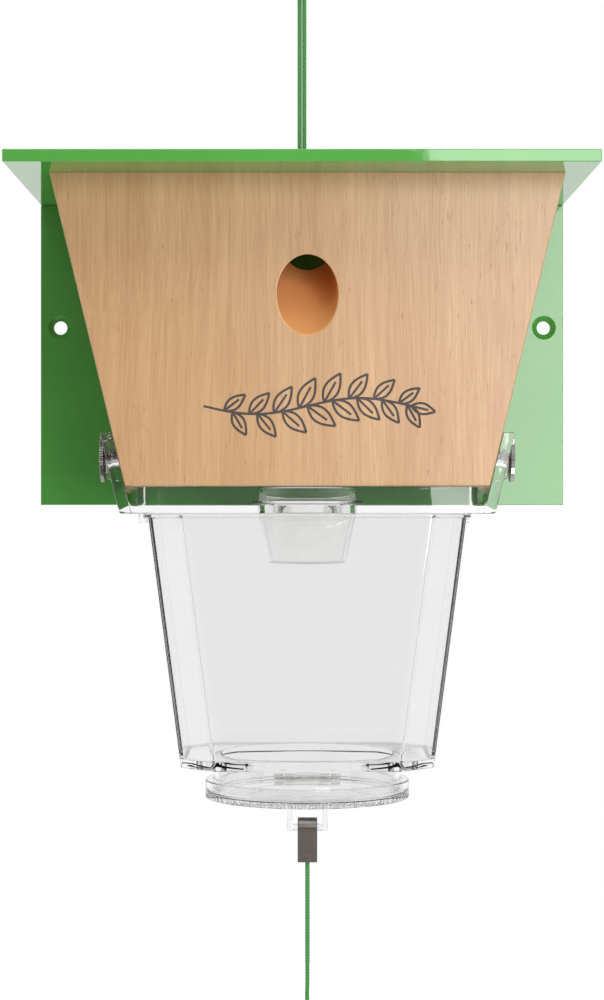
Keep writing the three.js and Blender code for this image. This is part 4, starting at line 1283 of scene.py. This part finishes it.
def make_inserts():
    outer, bore = 3.5 * MM, 2.3 * MM
    start, end = insert_low.x, insert_high.x
    pitch, depth = 1.5 * MM, 0.5 * MM
    profile = [(bore, start), (outer - depth, start)]
    x = start + 0.5 * MM
    while x + pitch < end - 0.5 * MM:
        profile += [(outer - depth, x), (outer, x + pitch * 0.4), (outer, x + pitch * 0.6),
                    (outer - depth, x + pitch)]
        x += pitch
    profile += [(outer, end - 0.3 * MM), (outer, end), (bore + 0.3 * MM, end), (bore, end - 0.3 * MM)]
    hand_over_pair(smooth(turned(profile, (0, AXIS_Y, THUMB.z), X, sides=48), 30), 30,
                   "brass_insert_{}", "housing", insert_brass, "threaded_insert_{}")


make_thumb_screws()
make_washers()
make_inserts()


# ---------------------------------------------------------------- pull clip
def make_clip():
    """A strip folded round the bracket's bar, its two legs pressed together on the cord."""
    half_wide = (clip_high.x - clip_low.x) / 2
    outer, eye = 3.3 * MM, BAR_RADIUS + ROOM
    tail, foot = 1.7 * MM, clip_low.z
    drop = BAR.z - foot
    start = math.acos(outer / math.hypot(tail, drop)) - math.atan2(drop, tail)
    outline = [(BAR.y - tail, foot), (BAR.y + tail, foot)]
    steps = 40
    for k in range(steps + 1):
        angle = start + (math.pi - 2 * start) * k / steps
        outline.append((BAR.y + outer * math.cos(angle), BAR.z + outer * math.sin(angle)))
    clip = extruded(outline, lambda u, v: (-half_wide, u, v), (2 * half_wide, 0, 0))
    round_edges(clip, 0.3 * MM, 3, lambda a, b: abs(a.x - b.x) < 1e-6 or max(a.z, b.z) < foot + 1e-6)
    seam = block((-half_wide - MM, BAR.y - 0.15 * MM, foot + 2.5 * MM),
                 (half_wide + MM, BAR.y + 0.15 * MM, BAR.z))
    eye_cut = rod(BAR - X * 2 * half_wide, BAR + X * 2 * half_wide, eye, sides=64)
    socket = rod((0, BAR.y, foot - MM), (0, BAR.y, foot + 4 * MM), 1.3 * MM, sides=48)
    cut(clip, joined(eye_cut, seam), socket)
    hand_over(smooth(face_outwards(clip), 30), "folded_pull_clip", "pull_clip", clip_paint,
              ["pull_clip"])


make_clip()


# ---------------------------------------------------------------- studio
def make_floor():
    """A plain pale floor, lower than the hank comes with the tray down and the door open."""
    deselect_all()
    bpy.ops.mesh.primitive_circle_add(vertices=96, radius=0.9, fill_type="NGON",
                                      location=(0, 0, hank_low.z - 130 * MM))
    floor = settle(bpy.context.object)
    floor.name = "studio_floor"
    material, tree, shader = new_material("pale_floor")
    grain = node(tree, "TexNoise", {"Vector": object_place(tree), "Scale": 3.0})
    plug(tree, blend(tree, grain.outputs["Fac"], (0.86, 0.86, 0.86, 1), (0.88, 0.88, 0.88, 1)),
         shader.inputs["Base Color"])
    shader.inputs["Roughness"].default_value = 0.9
    shader.inputs["Emission Color"].default_value = (1, 1, 1, 1)
    path = node(tree, "LightPath")
    plug(tree, ramp(tree, path.outputs["Is Camera Ray"], 0.0, 1.0, 0.08, 0.8),
         shader.inputs["Emission Strength"])
    floor.data.materials.append(material)
    floor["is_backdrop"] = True


def make_world():
    """White behind the trap, dimmer round the sides, darkest in front of it on the left."""
    world = bpy.data.worlds.new("studio")
    scene.world = world
    world.use_nodes = True
    tree = world.node_tree
    tree.nodes.clear()
    direction = node(tree, "TexCoord").outputs["Generated"]
    parts = node(tree, "SeparateXYZ", {"Vector": direction})
    behind = ramp(tree, parts.outputs["X"], -0.4, 0.6, 0.05, 0.5)
    around = ramp(tree, parts.outputs["Y"], -0.85, 0.0, 0.03, 0.8)
    ahead = ramp(tree, parts.outputs["Y"], 0.6, 0.85)
    light = maths(tree, "MAXIMUM", maths(tree, "MAXIMUM", behind, around), ahead)
    path = node(tree, "LightPath")
    light = maths(tree, "MAXIMUM", light, path.outputs["Is Camera Ray"])
    background = node(tree, "Background", {"Strength": light})
    background.inputs["Color"].default_value = (1, 1, 1, 1)
    output = node(tree, "OutputWorld", {"Surface": background.outputs["Background"]})
    output.is_active_output = True


def area_light(name, place, aim, width, height, power):
    data = bpy.data.lights.new(name, "AREA")
    data.shape = "RECTANGLE"
    data.size, data.size_y = width, height
    data.energy = power
    light = bpy.data.objects.new(name, data)
    light.location = place
    light.rotation_euler = (Vector(aim) - Vector(place)).to_track_quat("-Z", "Y").to_euler()
    light.visible_camera = False
    light.visible_transmission = False
    scene.collection.objects.link(light)


make_floor()
make_world()
MIDDLE = (0, -0.05, -0.05)
area_light("right_softbox", (0.162, -0.57, 0.035), MIDDLE, 0.2, 0.32, 1.65)
area_light("top_softbox", (-0.15, -0.75, 1.3), MIDDLE, 1.1, 0.8, 10)

scene.view_settings.view_transform = "Standard"
scene.cycles.max_bounces = 24
scene.cycles.transmission_bounces = 24
scene.cycles.glossy_bounces = 8

low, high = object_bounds()
